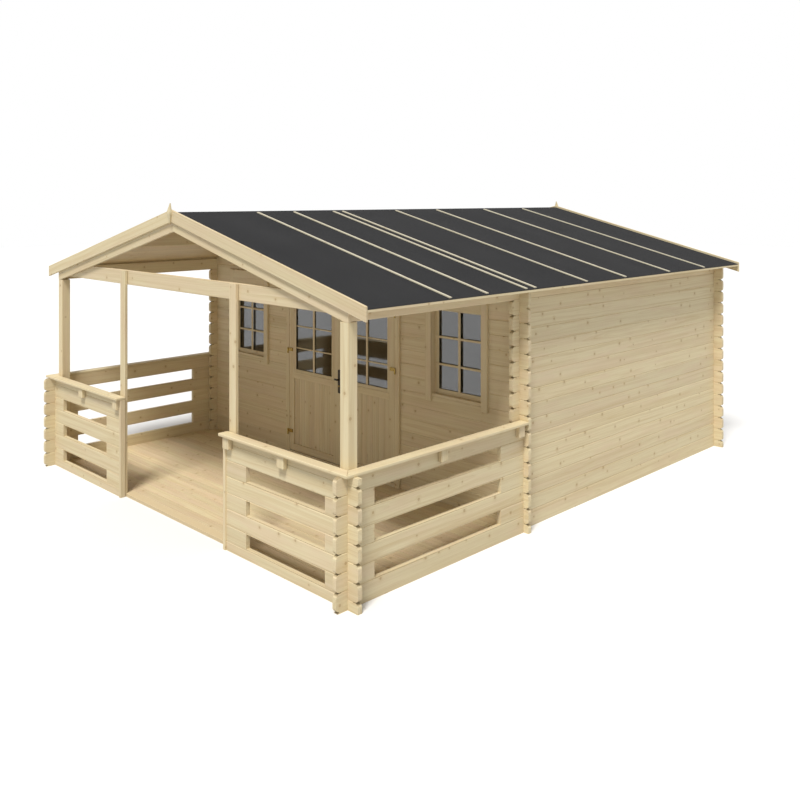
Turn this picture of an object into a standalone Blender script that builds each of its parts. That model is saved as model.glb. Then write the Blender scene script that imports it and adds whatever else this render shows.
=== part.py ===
"""Garden cabin with a covered porch, built of interlocking wall logs.

Lengths are metres, +Z is up and +Y runs from the porch to the rear wall. Left and right are as
seen from the front. Y is first measured back from the face of the front railing, and one empty
then carries every piece so that the origin lies under the middle of the whole cabin.
"""
import math

import bmesh
import bpy
from mathutils import Matrix, Vector

# Clearances
GAP = 0.0003                 # between pieces that touch
LEAF_GAP = 0.006             # round a door leaf

# Wall logs
LOG = 0.034                  # thickness
COURSE = 0.120               # height of one log
BASE = 0.008                 # extra height of the lowest side log
GROOVE = 0.005               # half height of the V along each joint
GROOVE_DEPTH = 0.004
NOTCH_DEPTH = 0.028          # rounding of the free log ends, along the log
NOTCH_HALF = 0.034           # and up or down from each joint
NOTCH_CURVE = 3              # steeper near the joint
NOTCH_STEPS = 3
NOTCH_RISE = 0.001           # how far its point lies above the joint
SIDE_COURSES = 15            # logs in a side wall, under the eave beam
RAIL_COURSES = 7

# Plan, half widths measured from the middle and depths from the railing's face
SIDE_WALL_X = (2.088, 2.088 + LOG)
FRONT_WALL_Y = (1.827, 1.827 + LOG)
REAR_WALL_Y = (5.170, 5.170 + LOG)
WALL_STUB = 0.088            # log ends past the crossings
FRONT_RAIL_Y = (0.0, LOG)
SIDE_RAIL_X = (2.128, 2.128 + LOG)
RAIL_STUB = 0.097
RAIL_END_X = 0.814           # where a front railing stops beside the entrance

# Roof
SLOPE = 0.251                # fall for each metre out
RIDGE_TOP = 2.489
ROOF_HALF_WIDTH = 2.309
FELT = 0.003                 # upright thicknesses
DECK = 0.0187
ROOF_FRONT_Y = 0.0353
ROOF_REAR_Y = 5.340
PURLIN_X = 0.670
PURLIN_DEPTH = 0.120
PURLIN_CHAMFER = 0.009       # on the two lower edges

# Gable boards
BARGE_HEIGHT = 0.100
BARGE_THICK = 0.020
BARGE_RISE = 0.020           # above the felt
BARGE_HALF_WIDTH = 2.311
RAFTER_DROP = 0.134          # below the deck
RAFTER_Y = (0.0353, 0.062)
FINIAL_HALF_WIDTH = 0.023
FINIAL_THICK = 0.022
FINIAL_TAPER = 0.016         # lost by its thickness at both points
FINIAL_Z = (2.388, 2.472, 2.490, 2.562)   # lower point, widest part, top point

# Porch
POST = 0.080
CORNER_POST_X = (SIDE_RAIL_X[0] - POST - GAP, SIDE_RAIL_X[0] - GAP)
CORNER_POST_Y = (0.0353, 0.0353 + POST)
ENTRANCE_POST_X = (0.797, 0.882)
ENTRANCE_POST_Y = (0.0353, 0.0623)
TIE_BEAM_Y = (0.0643, 0.0643 + LOG)
TIE_BEAM_Z = (1.846, 1.970)
TRIM_X = (0.786, 0.8137)
TRIM_Y = (-0.011, 0.034)
CAP_THICK = 0.022
CAP_FRONT_Y = (-0.055, 0.033)
CAP_SIDE_X = (2.129, 2.217)
CAP_END_X = 0.784
CAP_ROUNDING = 0.006
CAP_SEGMENTS = 2
BRACKET_DEPTH = 0.039
BRACKET_HEIGHT = 0.090
BRACKET_CHAMFER = 0.008
FRONT_BRACKETS_X = ((0.816, 0.892), (1.470, 1.546))
SIDE_BRACKETS_Y = ((0.841, 0.912), (1.727, 1.798))
FRONT_SLOT_X = (1.063, 1.940)
FRONT_SLOTS_Z = ((0.076, 0.184), (0.314, 0.424), (0.556, 0.666))
SIDE_SLOT_Y = (0.233, 1.544)
SIDE_SLOTS_Z = ((0.135, 0.245), (0.374, 0.484), (0.613, 0.723))

# Floors: boards on bearers
FLOOR_TOP = 0.050
FLOOR_BOARD = 0.020
BEARER_WIDTH = 0.045
PORCH_FLOOR_Y = (0.044, FRONT_WALL_Y[0] - GAP)
PORCH_BEARERS = 6
CABIN_BEARERS = 8

# Front wall openings
CASING_Y = FRONT_WALL_Y[0] - 0.022
DOOR_OPENING_X = 0.790
DOOR_CASING_X = 0.811
DOOR_CASING_TOP = 1.766
DOOR_FRAME_BACK = 1.875
WINDOW_X = 1.480             # middle of each window
WINDOW_OPENING = (0.300, 0.908, 1.712)    # half width, bottom, top
WINDOW_CASING = (0.343, 0.870, 1.825)
WINDOW_REVEAL = (0.275, 0.933, 1.687)
WINDOW_GLASS = (0.223, 0.979, 1.641)
SASH_Y = (1.851, 1.885)
GLASS_THICK = 0.004
WINDOW_GLASS_Y = 1.863

# Double door, which opens outwards
LEAF_EDGE_X = 0.754
LEAF_Y = (1.808, 1.848)
LEAF_Z = (0.068, 1.660)
LEFT_LEAF_MEETS_X = 0.036
RIGHT_LEAF_MEETS_X = 0.046
DOOR_GLASS_X = (0.110, 0.650)
DOOR_GLASS_Z = (0.887, 1.540)
DOOR_GLASS_Y = 1.826
PANEL_X = (0.076, 0.684)
PANEL_Z = (0.215, 0.795)
PANEL_SINK = 0.010
STOP_X = 0.735
STOP_HEAD_Z = 1.645
SILL_TOP = 0.062

# Hinges and handle
HINGE_X = 0.767
HINGE_Y = 1.796
HINGE_RADIUS = 0.0075
HINGE_LENGTH = 0.056
HINGE_Z = (0.249, 1.066, 1.566)
HINGE_PLATE = (0.050, 0.032, 0.003)       # reach along the leaf, height, thickness
HINGE_SIDES = 16
HANDLE_X = (-0.005, 0.031)
HANDLE_Z = (0.750, 0.973)
HANDLE_PLATE = 0.008
LEVER_Z = 0.882
LEVER_TIP_X = -0.094
LEVER_RADIUS = 0.008
LEVER_REACH = 0.045
LEVER_SIDES = 12

ARRIS = 0.003                # planed edge of posts and boards

FINIAL_REAR_Y = ROOF_REAR_Y + 2 * GAP + BARGE_THICK + FINIAL_THICK
MIDDLE_Y = (FINIAL_REAR_Y - RAIL_STUB) / 2


# ---------------------------------------------------------------- heights

def side_joint(course):
    """Height of the joint under a side log; front and rear logs lie half a course off it."""
    return BASE + course * COURSE


def roof_height(x, below=0.0):
    """Height of a surface parallel to the felt at x, the given distance under its top."""
    return RIDGE_TOP - below - SLOPE * abs(x)


WALL_TOP = side_joint(SIDE_COURSES)
EAVE_BEAM_TOP = side_joint(SIDE_COURSES + 1)
RAIL_TOP = side_joint(RAIL_COURSES)
CAP_Z = (RAIL_TOP + GAP, RAIL_TOP + GAP + CAP_THICK)
GABLE_BASE = side_joint(SIDE_COURSES - 0.5)
DECK_UNDER = FELT + GAP + DECK


# ---------------------------------------------------------------- shapes

def sided(side, span):
    """A span of half widths, taken to the left (-1) or the right (+1)."""
    return tuple(sorted((side * span[0], side * span[1])))


def grown(span, by):
    return (span[0] - by, span[1] + by)


def add_prism(mesh, outline, axis, span):
    """Extrude an outline along an axis. The outline holds the two other coordinates in order."""
    def corner(point, along):
        values = list(point)
        values.insert("XYZ".index(axis), along)
        return values

    start = mesh.faces.new([mesh.verts.new(corner(point, span[0])) for point in outline])
    moved = bmesh.ops.extrude_face_region(mesh, geom=[start])["geom"]
    verts = [item for item in moved if isinstance(item, bmesh.types.BMVert)]
    shift = Vector(corner((0.0, 0.0), span[1] - span[0]))
    bmesh.ops.translate(mesh, verts=verts, vec=shift)


def add_box(mesh, x, y, z):
    add_prism(mesh, [(x[0], y[0]), (x[1], y[0]), (x[1], y[1]), (x[0], y[1])], "Z", z)


def add_rod(mesh, centre, axis, span, radius, sides):
    """A round bar along an axis; centre holds the two other coordinates in order."""
    turns = [2 * math.pi * (step + 0.5) / sides for step in range(sides)]
    outline = [(centre[0] + radius * math.cos(turn), centre[1] + radius * math.sin(turn))
               for turn in turns]
    add_prism(mesh, outline, axis, span)


def boxes(*spans):
    mesh = bmesh.new()
    for x, y, z in spans:
        add_box(mesh, x, y, z)
    return mesh


def prism(outline, axis, span):
    mesh = bmesh.new()
    add_prism(mesh, outline, axis, span)
    return mesh


# ---------------------------------------------------------------- objects

def material(name, colour, roughness, metallic=0.0, alpha=1.0):
    made = bpy.data.materials.new(name)
    made.use_nodes = True
    shader = made.node_tree.nodes["Principled BSDF"]
    shader.inputs["Base Color"].default_value = (*colour, 1.0)
    shader.inputs["Roughness"].default_value = roughness
    shader.inputs["Metallic"].default_value = metallic
    shader.inputs["Alpha"].default_value = alpha
    made.diffuse_color = (*colour, alpha)
    return made


def new_object(name, mesh, parent):
    """Turn a bmesh into an object whose origin is the middle of its shape."""
    bmesh.ops.recalc_face_normals(mesh, faces=mesh.faces)
    corners = [[vert.co[axis] for vert in mesh.verts] for axis in range(3)]
    middle = Vector([(min(values) + max(values)) / 2 for values in corners])
    bmesh.ops.translate(mesh, verts=mesh.verts, vec=-middle)
    data = bpy.data.meshes.new(name)
    mesh.to_mesh(data)
    mesh.free()
    made = bpy.data.objects.new(name, data)
    bpy.context.scene.collection.objects.link(made)
    made.parent = parent
    made.location = middle - parent.location if parent.parent else middle
    return made


def piece(name, mesh, finish, parent):
    made = new_object(name, mesh, parent)
    made.data.materials.append(finish)
    return made


def combine(target, mesh, operation):
    """Cut a shape out of a piece, or join it on, and return the tool that does it."""
    tool = new_object(f"{operation.lower()}_{target.name}", mesh, target.parent)
    tool.hide_render = True
    tool.display_type = "WIRE"
    modifier = target.modifiers.new(operation.title(), "BOOLEAN")
    modifier.operation = operation
    modifier.solver = "EXACT"
    modifier.object = tool
    return tool


def plane_edges(target, width=ARRIS, segments=1):
    """Plane the long sharp edges of a board or post."""
    modifier = target.modifiers.new("Arris", "BEVEL")
    modifier.width = width
    modifier.segments = segments
    modifier.limit_method = "ANGLE"


def empty(name, location, parent=None):
    made = bpy.data.objects.new(name, None)
    bpy.context.scene.collection.objects.link(made)
    made.parent = parent
    made.location = location
    return made


# ---------------------------------------------------------------- log walls

def joints_between(bottom, top, offset):
    """Heights of the log joints strictly inside a wall, whole courses plus the offset."""
    courses = range(SIDE_COURSES + 8)
    heights = [side_joint(course + offset) for course in courses]
    return [z for z in heights if bottom + NOTCH_HALF < z < top - NOTCH_HALF]


def log_section(across, bottom, top, joints):
    """Section through a wall: two faces with a V along each joint between logs."""
    def face(at, inward):
        points = [(at, bottom)]
        for z in joints:
            points += [(at, z - GROOVE), (at + inward * GROOVE_DEPTH, z), (at, z + GROOVE)]
        return points + [(at, top)]

    return face(across[1], -1) + face(across[0], 1)[::-1]


def log_wall(name, axis, across, span, heights, finish, parent):
    """A wall of stacked logs along X or Y, joined into one solid."""
    joints = joints_between(*heights, 0.0 if axis == "Y" else 0.5)
    section = log_section(across, *heights, joints)
    return piece(name, prism(section, axis, span), finish, parent)


def crossing_slots(mesh, axis, across, column, heights, clearance):
    """Half-depth notches where the logs of another wall pass through this one."""
    phase = -0.25 if axis == "Y" else 0.25
    wide = grown(across, LOG / 2)
    deep = grown(column, GAP)
    for course in range(-1, SIDE_COURSES + 3):
        low = side_joint(course + phase) - clearance
        high = side_joint(course + phase + 0.5) + clearance
        if high < heights[0] or low > heights[1]:
            continue
        spans = (wide, deep) if axis == "Y" else (deep, wide)
        add_box(mesh, *spans, (low, high))


def notch_outline(end, outward):
    """The gap between two log ends, which curve back from the end to their joint."""
    upper = [(end + outward * NOTCH_DEPTH, NOTCH_HALF)]
    for step in range(NOTCH_STEPS, 0, -1):
        share = step / NOTCH_STEPS
        depth = NOTCH_DEPTH * (1 - share) ** NOTCH_CURVE
        upper.append((end - outward * depth, NOTCH_HALF * share))
    lower = [(along, -height) for along, height in reversed(upper)]
    return upper + [(end - outward * NOTCH_DEPTH, NOTCH_RISE)] + lower


def end_notches(mesh, axis, across, end, outward, joints):
    """Round the free ends of the logs above and below each joint."""
    wide = grown(across, LOG / 2)
    for z in joints:
        outline = [(along, z + height) for along, height in notch_outline(end, outward)]
        add_prism(mesh, outline, "Y" if axis == "X" else "X", wide)


def side_wall(side, finish, parent):
    name = "left_wall" if side < 0 else "right_wall"
    across = sided(side, SIDE_WALL_X)
    span = (FRONT_WALL_Y[0] - WALL_STUB, REAR_WALL_Y[1] + WALL_STUB)
    heights = (0.0, WALL_TOP - GAP)
    wall = log_wall(name, "Y", across, span, heights, finish, parent)
    cuts = bmesh.new()
    joints = [BASE] + joints_between(*heights, 0.0) + [WALL_TOP]
    for column, end, outward in ((FRONT_WALL_Y, span[0], -1), (REAR_WALL_Y, span[1], 1)):
        crossing_slots(cuts, "Y", across, column, heights, GAP)
        end_notches(cuts, "Y", across, end, outward, joints)
    combine(wall, cuts, "DIFFERENCE")


def eave_beam(side, finish, parent):
    """The top side log, which runs on over the porch to carry the roof."""
    name = "left_eave_beam" if side < 0 else "right_eave_beam"
    across = sided(side, SIDE_WALL_X)
    span = (RAFTER_Y[1] + GAP, REAR_WALL_Y[1] + WALL_STUB)
    heights = (WALL_TOP, EAVE_BEAM_TOP)
    beam = piece(name, boxes((across, span, heights)), finish, parent)
    plane_edges(beam, GROOVE_DEPTH)
    cuts = bmesh.new()
    for column in (FRONT_WALL_Y, REAR_WALL_Y):
        crossing_slots(cuts, "Y", across, column, heights, GAP)
    end_notches(cuts, "Y", across, span[1], 1, [WALL_TOP])
    combine(beam, cuts, "DIFFERENCE")


def purlin_places():
    return ((-PURLIN_X, "left_purlin"), (0.0, "ridge_purlin"), (PURLIN_X, "right_purlin"))


def purlin_top(x):
    """Top of a purlin: its higher edge just meets the deck."""
    return roof_height(abs(x) + LOG / 2, DECK_UNDER + GAP)


def purlin(x, name, finish, parent):
    top = purlin_top(x)
    low = top - PURLIN_DEPTH
    half = LOG / 2
    narrow = half - PURLIN_CHAMFER
    outline = [(x - half, top), (x - half, low + PURLIN_CHAMFER), (x - narrow, low),
               (x + narrow, low), (x + half, low + PURLIN_CHAMFER), (x + half, top)]
    piece(name, prism(outline, "Y", (RAFTER_Y[1] + GAP, ROOF_REAR_Y)), finish, parent)


def gable_cuts(across):
    """What the roof and the purlins take out of a gable wall."""
    mesh = bmesh.new()
    wide = grown(across, LOG / 2)
    half = ROOF_HALF_WIDTH
    drop = DECK_UNDER + GAP
    sky = RIDGE_TOP + PURLIN_DEPTH
    outline = [(-half, roof_height(half, drop)), (0.0, roof_height(0.0, drop)),
               (half, roof_height(half, drop)), (half, sky), (-half, sky)]
    add_prism(mesh, outline, "Y", wide)
    return mesh


def purlin_cuts(across):
    mesh = bmesh.new()
    for x, _ in purlin_places():
        top = purlin_top(x)
        add_box(mesh, grown((x - LOG / 2, x + LOG / 2), GAP), grown(across, LOG / 2),
                (top - PURLIN_DEPTH - GAP, top + LOG))
    return mesh


def corner_cuts(across, heights, side, cuts):
    """Notches and end marks where a front or rear wall crosses one side wall."""
    crossing_slots(cuts, "X", across, sided(side, SIDE_WALL_X), heights, 0.0)
    end = side * (SIDE_WALL_X[1] + WALL_STUB)
    edge = roof_height(end, DECK_UNDER)
    reach = grown(heights, 2 * NOTCH_HALF)
    joints = [z for z in joints_between(*reach, 0.5) if z < edge - 2 * NOTCH_HALF]
    end_notches(cuts, "X", across, end, side, joints)


def gable_wall(name, across, bottom, finish, parent):
    """A wall that fills the gable, across the whole width."""
    reach = SIDE_WALL_X[1] + WALL_STUB
    heights = (bottom, RIDGE_TOP)
    wall = log_wall(name, "X", across, (-reach, reach), heights, finish, parent)
    combine(wall, gable_cuts(across), "DIFFERENCE")
    combine(wall, purlin_cuts(across), "DIFFERENCE")
    cuts = bmesh.new()
    for side in (-1, 1):
        corner_cuts(across, (bottom, EAVE_BEAM_TOP + COURSE), side, cuts)
    combine(wall, cuts, "DIFFERENCE")


def front_wall(side, finish, parent):
    """The wall between a corner and the doorway, with one window opening."""
    name = "front_wall_left" if side < 0 else "front_wall_right"
    span = sided(side, (DOOR_OPENING_X, SIDE_WALL_X[1] + WALL_STUB))
    heights = (0.0, GABLE_BASE - GAP)
    wall = log_wall(name, "X", FRONT_WALL_Y, span, heights, finish, parent)
    half, bottom, top = WINDOW_OPENING
    cuts = boxes((sided(side, (WINDOW_X - half, WINDOW_X + half)),
                  grown(FRONT_WALL_Y, LOG), (bottom, top)))
    corner_cuts(FRONT_WALL_Y, heights, side, cuts)
    combine(wall, cuts, "DIFFERENCE")


# ---------------------------------------------------------------- roof

def roof_sheet(name, side, top, thick, finish, parent):
    """One slope of the deck or of the felt."""
    half = ROOF_HALF_WIDTH
    inner = GAP / 2
    outline = [(side * inner, roof_height(inner, top)), (side * half, roof_height(half, top)),
               (side * half, roof_height(half, top + thick)),
               (side * inner, roof_height(inner, top + thick))]
    piece(name, prism(outline, "Y", (ROOF_FRONT_Y, ROOF_REAR_Y)), finish, parent)


def bargeboard(name, side, front, finish, parent):
    half = BARGE_HALF_WIDTH
    inner = GAP / 2
    outline = [(side * inner, roof_height(inner, -BARGE_RISE)),
               (side * half, roof_height(half, -BARGE_RISE)),
               (side * half, roof_height(half, BARGE_HEIGHT - BARGE_RISE)),
               (side * inner, roof_height(inner, BARGE_HEIGHT - BARGE_RISE))]
    board = piece(name, prism(outline, "Y", (front, front + BARGE_THICK)), finish, parent)
    plane_edges(board)


def rafter(side, finish, parent):
    """The set-back board under the roof's front edge, cut level over the corner post."""
    name = "left_rafter" if side < 0 else "right_rafter"
    inner = GAP / 2
    top = DECK_UNDER + GAP
    low = DECK_UNDER + RAFTER_DROP
    seat = WALL_TOP + GAP
    seat_x = (RIDGE_TOP - low - seat) / SLOPE
    end = SIDE_RAIL_X[0]
    outline = [(side * inner, roof_height(inner, top)), (side * end, roof_height(end, top)),
               (side * end, seat), (side * seat_x, seat), (side * inner, roof_height(inner, low))]
    piece(name, prism(outline, "Y", RAFTER_Y), finish, parent)


def finial(name, face, outward, finish, parent):
    """The pointed board over the meeting of two bargeboards, thinner towards both points."""
    half = FINIAL_HALF_WIDTH
    tip, low, high, crown = FINIAL_Z
    back = face - outward * FINIAL_THICK
    pointed = face - outward * FINIAL_TAPER
    mesh = bmesh.new()
    for reach, z, front in ((half / 10, tip, pointed), (half, low, face),
                            (half, high, face), (half / 10, crown, pointed)):
        for x in (-reach, reach):
            mesh.verts.new((x, front, z))
            mesh.verts.new((x, back, z))
    bmesh.ops.convex_hull(mesh, input=mesh.verts)
    piece(name, mesh, finish, parent)


def build_roof(wood, felt, parent):
    for side, word in ((-1, "left"), (1, "right")):
        roof_sheet(f"{word}_roof_deck", side, FELT + GAP, DECK, wood, parent)
        roof_sheet(f"{word}_roof_felt", side, 0.0, FELT, felt, parent)
        bargeboard(f"{word}_front_bargeboard", side, ROOF_FRONT_Y - GAP - BARGE_THICK, wood, parent)
        bargeboard(f"{word}_rear_bargeboard", side, ROOF_REAR_Y + GAP, wood, parent)
        rafter(side, wood, parent)
    finial("front_finial", ROOF_FRONT_Y - 2 * GAP - BARGE_THICK - FINIAL_THICK, -1, wood, parent)
    finial("rear_finial", FINIAL_REAR_Y, 1, wood, parent)
    for x, name in purlin_places():
        purlin(x, name, wood, parent)


# ---------------------------------------------------------------- porch

def front_railing(side, finish, parent):
    name = "left_front_railing" if side < 0 else "right_front_railing"
    end = side * (SIDE_RAIL_X[1] + RAIL_STUB)
    heights = (0.0, RAIL_TOP)
    span = tuple(sorted((side * RAIL_END_X, end)))
    panel = log_wall(name, "X", FRONT_RAIL_Y, span, heights, finish, parent)
    through = grown(FRONT_RAIL_Y, LOG)
    cuts = boxes(*[(sided(side, FRONT_SLOT_X), through, slot) for slot in FRONT_SLOTS_Z])
    crossing_slots(cuts, "X", FRONT_RAIL_Y, sided(side, SIDE_RAIL_X), heights, 0.0)
    end_notches(cuts, "X", FRONT_RAIL_Y, end, side, joints_between(*heights, 0.5))
    combine(panel, cuts, "DIFFERENCE")


def side_railing(side, finish, parent):
    name = "left_side_railing" if side < 0 else "right_side_railing"
    across = sided(side, SIDE_RAIL_X)
    heights = (0.0, RAIL_TOP)
    span = (-RAIL_STUB, FRONT_WALL_Y[0] - GAP)
    panel = log_wall(name, "Y", across, span, heights, finish, parent)
    through = grown(across, LOG)
    cuts = boxes(*[(through, SIDE_SLOT_Y, slot) for slot in SIDE_SLOTS_Z])
    crossing_slots(cuts, "Y", across, FRONT_RAIL_Y, heights, GAP)
    joints = [BASE] + joints_between(*heights, 0.0) + [RAIL_TOP]
    end_notches(cuts, "Y", across, span[0], -1, joints)
    combine(panel, cuts, "DIFFERENCE")


def handrail(side, finish, parent):
    """The L-shaped cap on two railings, with the brackets under its outer edge."""
    name = "left_handrail" if side < 0 else "right_handrail"
    wall = FRONT_WALL_Y[0] - GAP
    corner_x, outer_x = CAP_SIDE_X
    outer_y, corner_y = CAP_FRONT_Y
    outline = [(side * CAP_END_X, outer_y), (side * outer_x, outer_y), (side * outer_x, wall),
               (side * corner_x, wall), (side * corner_x, corner_y), (side * CAP_END_X, corner_y)]
    cap = piece(name, prism(outline, "Z", CAP_Z), finish, parent)
    plane_edges(cap, CAP_ROUNDING, CAP_SEGMENTS)
    under = (CAP_Z[0] - BRACKET_HEIGHT, CAP_Z[0] + CAP_THICK / 2)
    front = (-BRACKET_DEPTH, -GAP)
    outside = sided(side, (SIDE_RAIL_X[1] + GAP, SIDE_RAIL_X[1] + BRACKET_DEPTH))
    brackets = boxes(*[(sided(side, x), front, under) for x in FRONT_BRACKETS_X],
                     *[(outside, y, under) for y in SIDE_BRACKETS_Y])
    plane_edges(combine(cap, brackets, "UNION"), BRACKET_CHAMFER)


def build_porch(wood, parent):
    for side, word in ((-1, "left"), (1, "right")):
        front_railing(side, wood, parent)
        side_railing(side, wood, parent)
        handrail(side, wood, parent)
        post = boxes((sided(side, CORNER_POST_X), CORNER_POST_Y, (0.0, WALL_TOP - GAP)))
        plane_edges(piece(f"{word}_corner_post", post, wood, parent))
        post = boxes((sided(side, ENTRANCE_POST_X), ENTRANCE_POST_Y, (0.0, TIE_BEAM_Z[1])))
        plane_edges(piece(f"{word}_entrance_post", post, wood, parent))
        trim = boxes((sided(side, TRIM_X), TRIM_Y, (0.0, CAP_Z[0] - GAP)))
        plane_edges(piece(f"{word}_railing_end", trim, wood, parent), ARRIS / 2)
    tie_beam(wood, parent)


def tie_beam(finish, parent):
    """The log across the porch, trimmed to the roof at both ends."""
    half = SIDE_WALL_X[0] - GAP
    low, high = TIE_BEAM_Z
    drop = DECK_UNDER + GAP
    trim_x = (RIDGE_TOP - drop - high) / SLOPE
    outline = [(-half, low), (half, low), (half, roof_height(half, drop)), (trim_x, high),
               (-trim_x, high), (-half, roof_height(half, drop))]
    plane_edges(piece("tie_beam", prism(outline, "Y", TIE_BEAM_Y), finish, parent))


# ---------------------------------------------------------------- floors

def floor(name, half_width, depth, bearers, finish, parent):
    """Floor boards on bearers that run from front to back, closed by one along the front."""
    under = FLOOR_TOP - FLOOR_BOARD
    made = piece(name, boxes(((-half_width, half_width), depth, (under, FLOOR_TOP))), finish, parent)
    pitch = (2 * half_width - BEARER_WIDTH) / (bearers - 1)
    lows = [-half_width + pitch * number for number in range(bearers)]
    level = (0.0, under + FLOOR_BOARD / 2)
    combine(made, boxes(*[((x, x + BEARER_WIDTH), depth, level) for x in lows]), "UNION")
    front = boxes(((-half_width, half_width), (depth[0], depth[0] + BEARER_WIDTH), level))
    combine(made, front, "UNION")
    return made


def porch_floor(finish, parent):
    """The porch floor, notched round the posts and the log ends of the side walls."""
    made = floor("porch_floor", SIDE_RAIL_X[0] - GAP, PORCH_FLOOR_Y, PORCH_BEARERS, finish, parent)
    heights = (-FLOOR_TOP, 2 * FLOOR_TOP)
    stubs_y = (FRONT_WALL_Y[0] - WALL_STUB, FRONT_WALL_Y[1])
    corner_x = (CORNER_POST_X[0], SIDE_RAIL_X[1])
    stub_x = (SIDE_WALL_X[0], SIDE_RAIL_X[1])
    cuts = bmesh.new()
    for side in (-1, 1):
        add_box(cuts, grown(sided(side, corner_x), GAP), grown(CORNER_POST_Y, GAP), heights)
        add_box(cuts, grown(sided(side, ENTRANCE_POST_X), GAP), grown(ENTRANCE_POST_Y, GAP), heights)
        add_box(cuts, grown(sided(side, stub_x), GAP), grown(stubs_y, GAP), heights)
    combine(made, cuts, "DIFFERENCE")


# ---------------------------------------------------------------- windows and doors

def around(side, size):
    """Box spans in X and Z of a window part given as half width, bottom and top."""
    half, bottom, top = size
    return sided(side, (WINDOW_X - half, WINDOW_X + half)), (bottom, top)


def reveal(side):
    """The space in front of a sash, open at the foot between the two upright casings."""
    x, (bottom, top) = around(side, WINDOW_REVEAL)
    face, front, below = FRONT_WALL_Y[0], CASING_Y - LOG, WINDOW_CASING[1] - LOG
    outline = [(front, below), (face, below), (face, bottom), (SASH_Y[0], bottom),
               (SASH_Y[0], top), (front, top)]
    return prism(outline, "X", x)


def window(side, finish, glass, parent):
    """Casing, lining and sash as one frame, with a single sheet of glass."""
    word = "left" if side < 0 else "right"
    back = SASH_Y[1]
    x, z = around(side, WINDOW_CASING)
    frame = piece(f"{word}_window_frame", boxes((x, (CASING_Y, FRONT_WALL_Y[0] - GAP), z)),
                  finish, parent)
    x, z = around(side, WINDOW_OPENING)
    lining = boxes((grown(x, -GAP), (CASING_Y + ARRIS, back), grown(z, -GAP)))
    combine(frame, lining, "UNION")
    combine(frame, reveal(side), "DIFFERENCE")
    x, z = around(side, WINDOW_GLASS)
    combine(frame, boxes((x, (CASING_Y, back + LOG), z)), "DIFFERENCE")
    pane = (WINDOW_GLASS_Y, WINDOW_GLASS_Y + GLASS_THICK)
    piece(f"{word}_window_glass", boxes((grown(x, -GAP), pane, grown(z, -GAP))), glass, parent)


def door_frame(finish, parent):
    """Casing, jambs, head, stops and sill of the double door."""
    casing_y = (CASING_Y, FRONT_WALL_Y[0] - GAP)
    x = (-DOOR_CASING_X, DOOR_CASING_X)
    frame = piece("door_frame", boxes((x, casing_y, (FLOOR_TOP + GAP, DOOR_CASING_TOP))),
                  finish, parent)
    x = (-DOOR_OPENING_X + GAP, DOOR_OPENING_X - GAP)
    inner_top = GABLE_BASE - GAP
    lining = boxes((x, (CASING_Y + ARRIS, DOOR_FRAME_BACK), (FLOOR_TOP + 2 * GAP, inner_top)))
    combine(frame, lining, "UNION")
    sill = boxes((x, (FRONT_WALL_Y[0], DOOR_FRAME_BACK), (0.0, FLOOR_TOP + ARRIS)))
    combine(frame, sill, "UNION")
    reach = LEAF_EDGE_X + LEAF_GAP
    leaves = boxes(((-reach, reach), (CASING_Y - LOG, LEAF_Y[1] + LEAF_GAP),
                    (SILL_TOP, LEAF_Z[1] + LEAF_GAP)))
    combine(frame, leaves, "DIFFERENCE")
    way = boxes(((-STOP_X, STOP_X), (CASING_Y, DOOR_FRAME_BACK + LOG), (SILL_TOP, STOP_HEAD_Z)))
    combine(frame, way, "DIFFERENCE")


def door_leaf(side, meets, finish, glass, axis):
    """A leaf with a glass hole above and a sunk panel below on both faces."""
    word = "left" if side < 0 else "right"
    x = tuple(sorted((side * LEAF_EDGE_X, meets)))
    leaf = piece(f"{word}_door_leaf", boxes((x, LEAF_Y, LEAF_Z)), finish, axis)
    pane_x = sided(side, DOOR_GLASS_X)
    panel_x = sided(side, PANEL_X)
    front = (LEAF_Y[0] - LOG, LEAF_Y[0] + PANEL_SINK)
    rear = (LEAF_Y[1] - PANEL_SINK, LEAF_Y[1] + LOG)
    combine(leaf, boxes((pane_x, grown(LEAF_Y, LOG), DOOR_GLASS_Z), (panel_x, front, PANEL_Z),
                        (panel_x, rear, PANEL_Z)), "DIFFERENCE")
    pane_y = (DOOR_GLASS_Y, DOOR_GLASS_Y + GLASS_THICK)
    piece(f"{word}_door_glass", boxes((grown(pane_x, -GAP), pane_y, grown(DOOR_GLASS_Z, -GAP))),
          glass, axis)


def hinge(side, number, z, finish, axis):
    """The knuckle on the joint axis, with a strap and its pad on the leaf's face."""
    word = "left" if side < 0 else "right"
    reach, height, thick = HINGE_PLATE
    mesh = bmesh.new()
    add_rod(mesh, (side * HINGE_X, HINGE_Y), "Z", (z - HINGE_LENGTH / 2, z + HINGE_LENGTH / 2),
            HINGE_RADIUS, HINGE_SIDES)
    made = piece(f"{word}_door_hinge_{number}", mesh, finish, axis)
    near = LEAF_EDGE_X - thick
    strap_y = (HINGE_Y + thick / 2, HINGE_Y + 3 * thick / 2)
    wing = (z + HINGE_LENGTH / 2 - height, z + HINGE_LENGTH / 2)
    strap = boxes((sided(side, (near - thick, HINGE_X)), strap_y, wing))
    combine(made, strap, "UNION")
    pad = boxes((sided(side, (near - reach, near)), (strap_y[0], LEAF_Y[0] - GAP), wing))
    combine(made, pad, "UNION")


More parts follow.
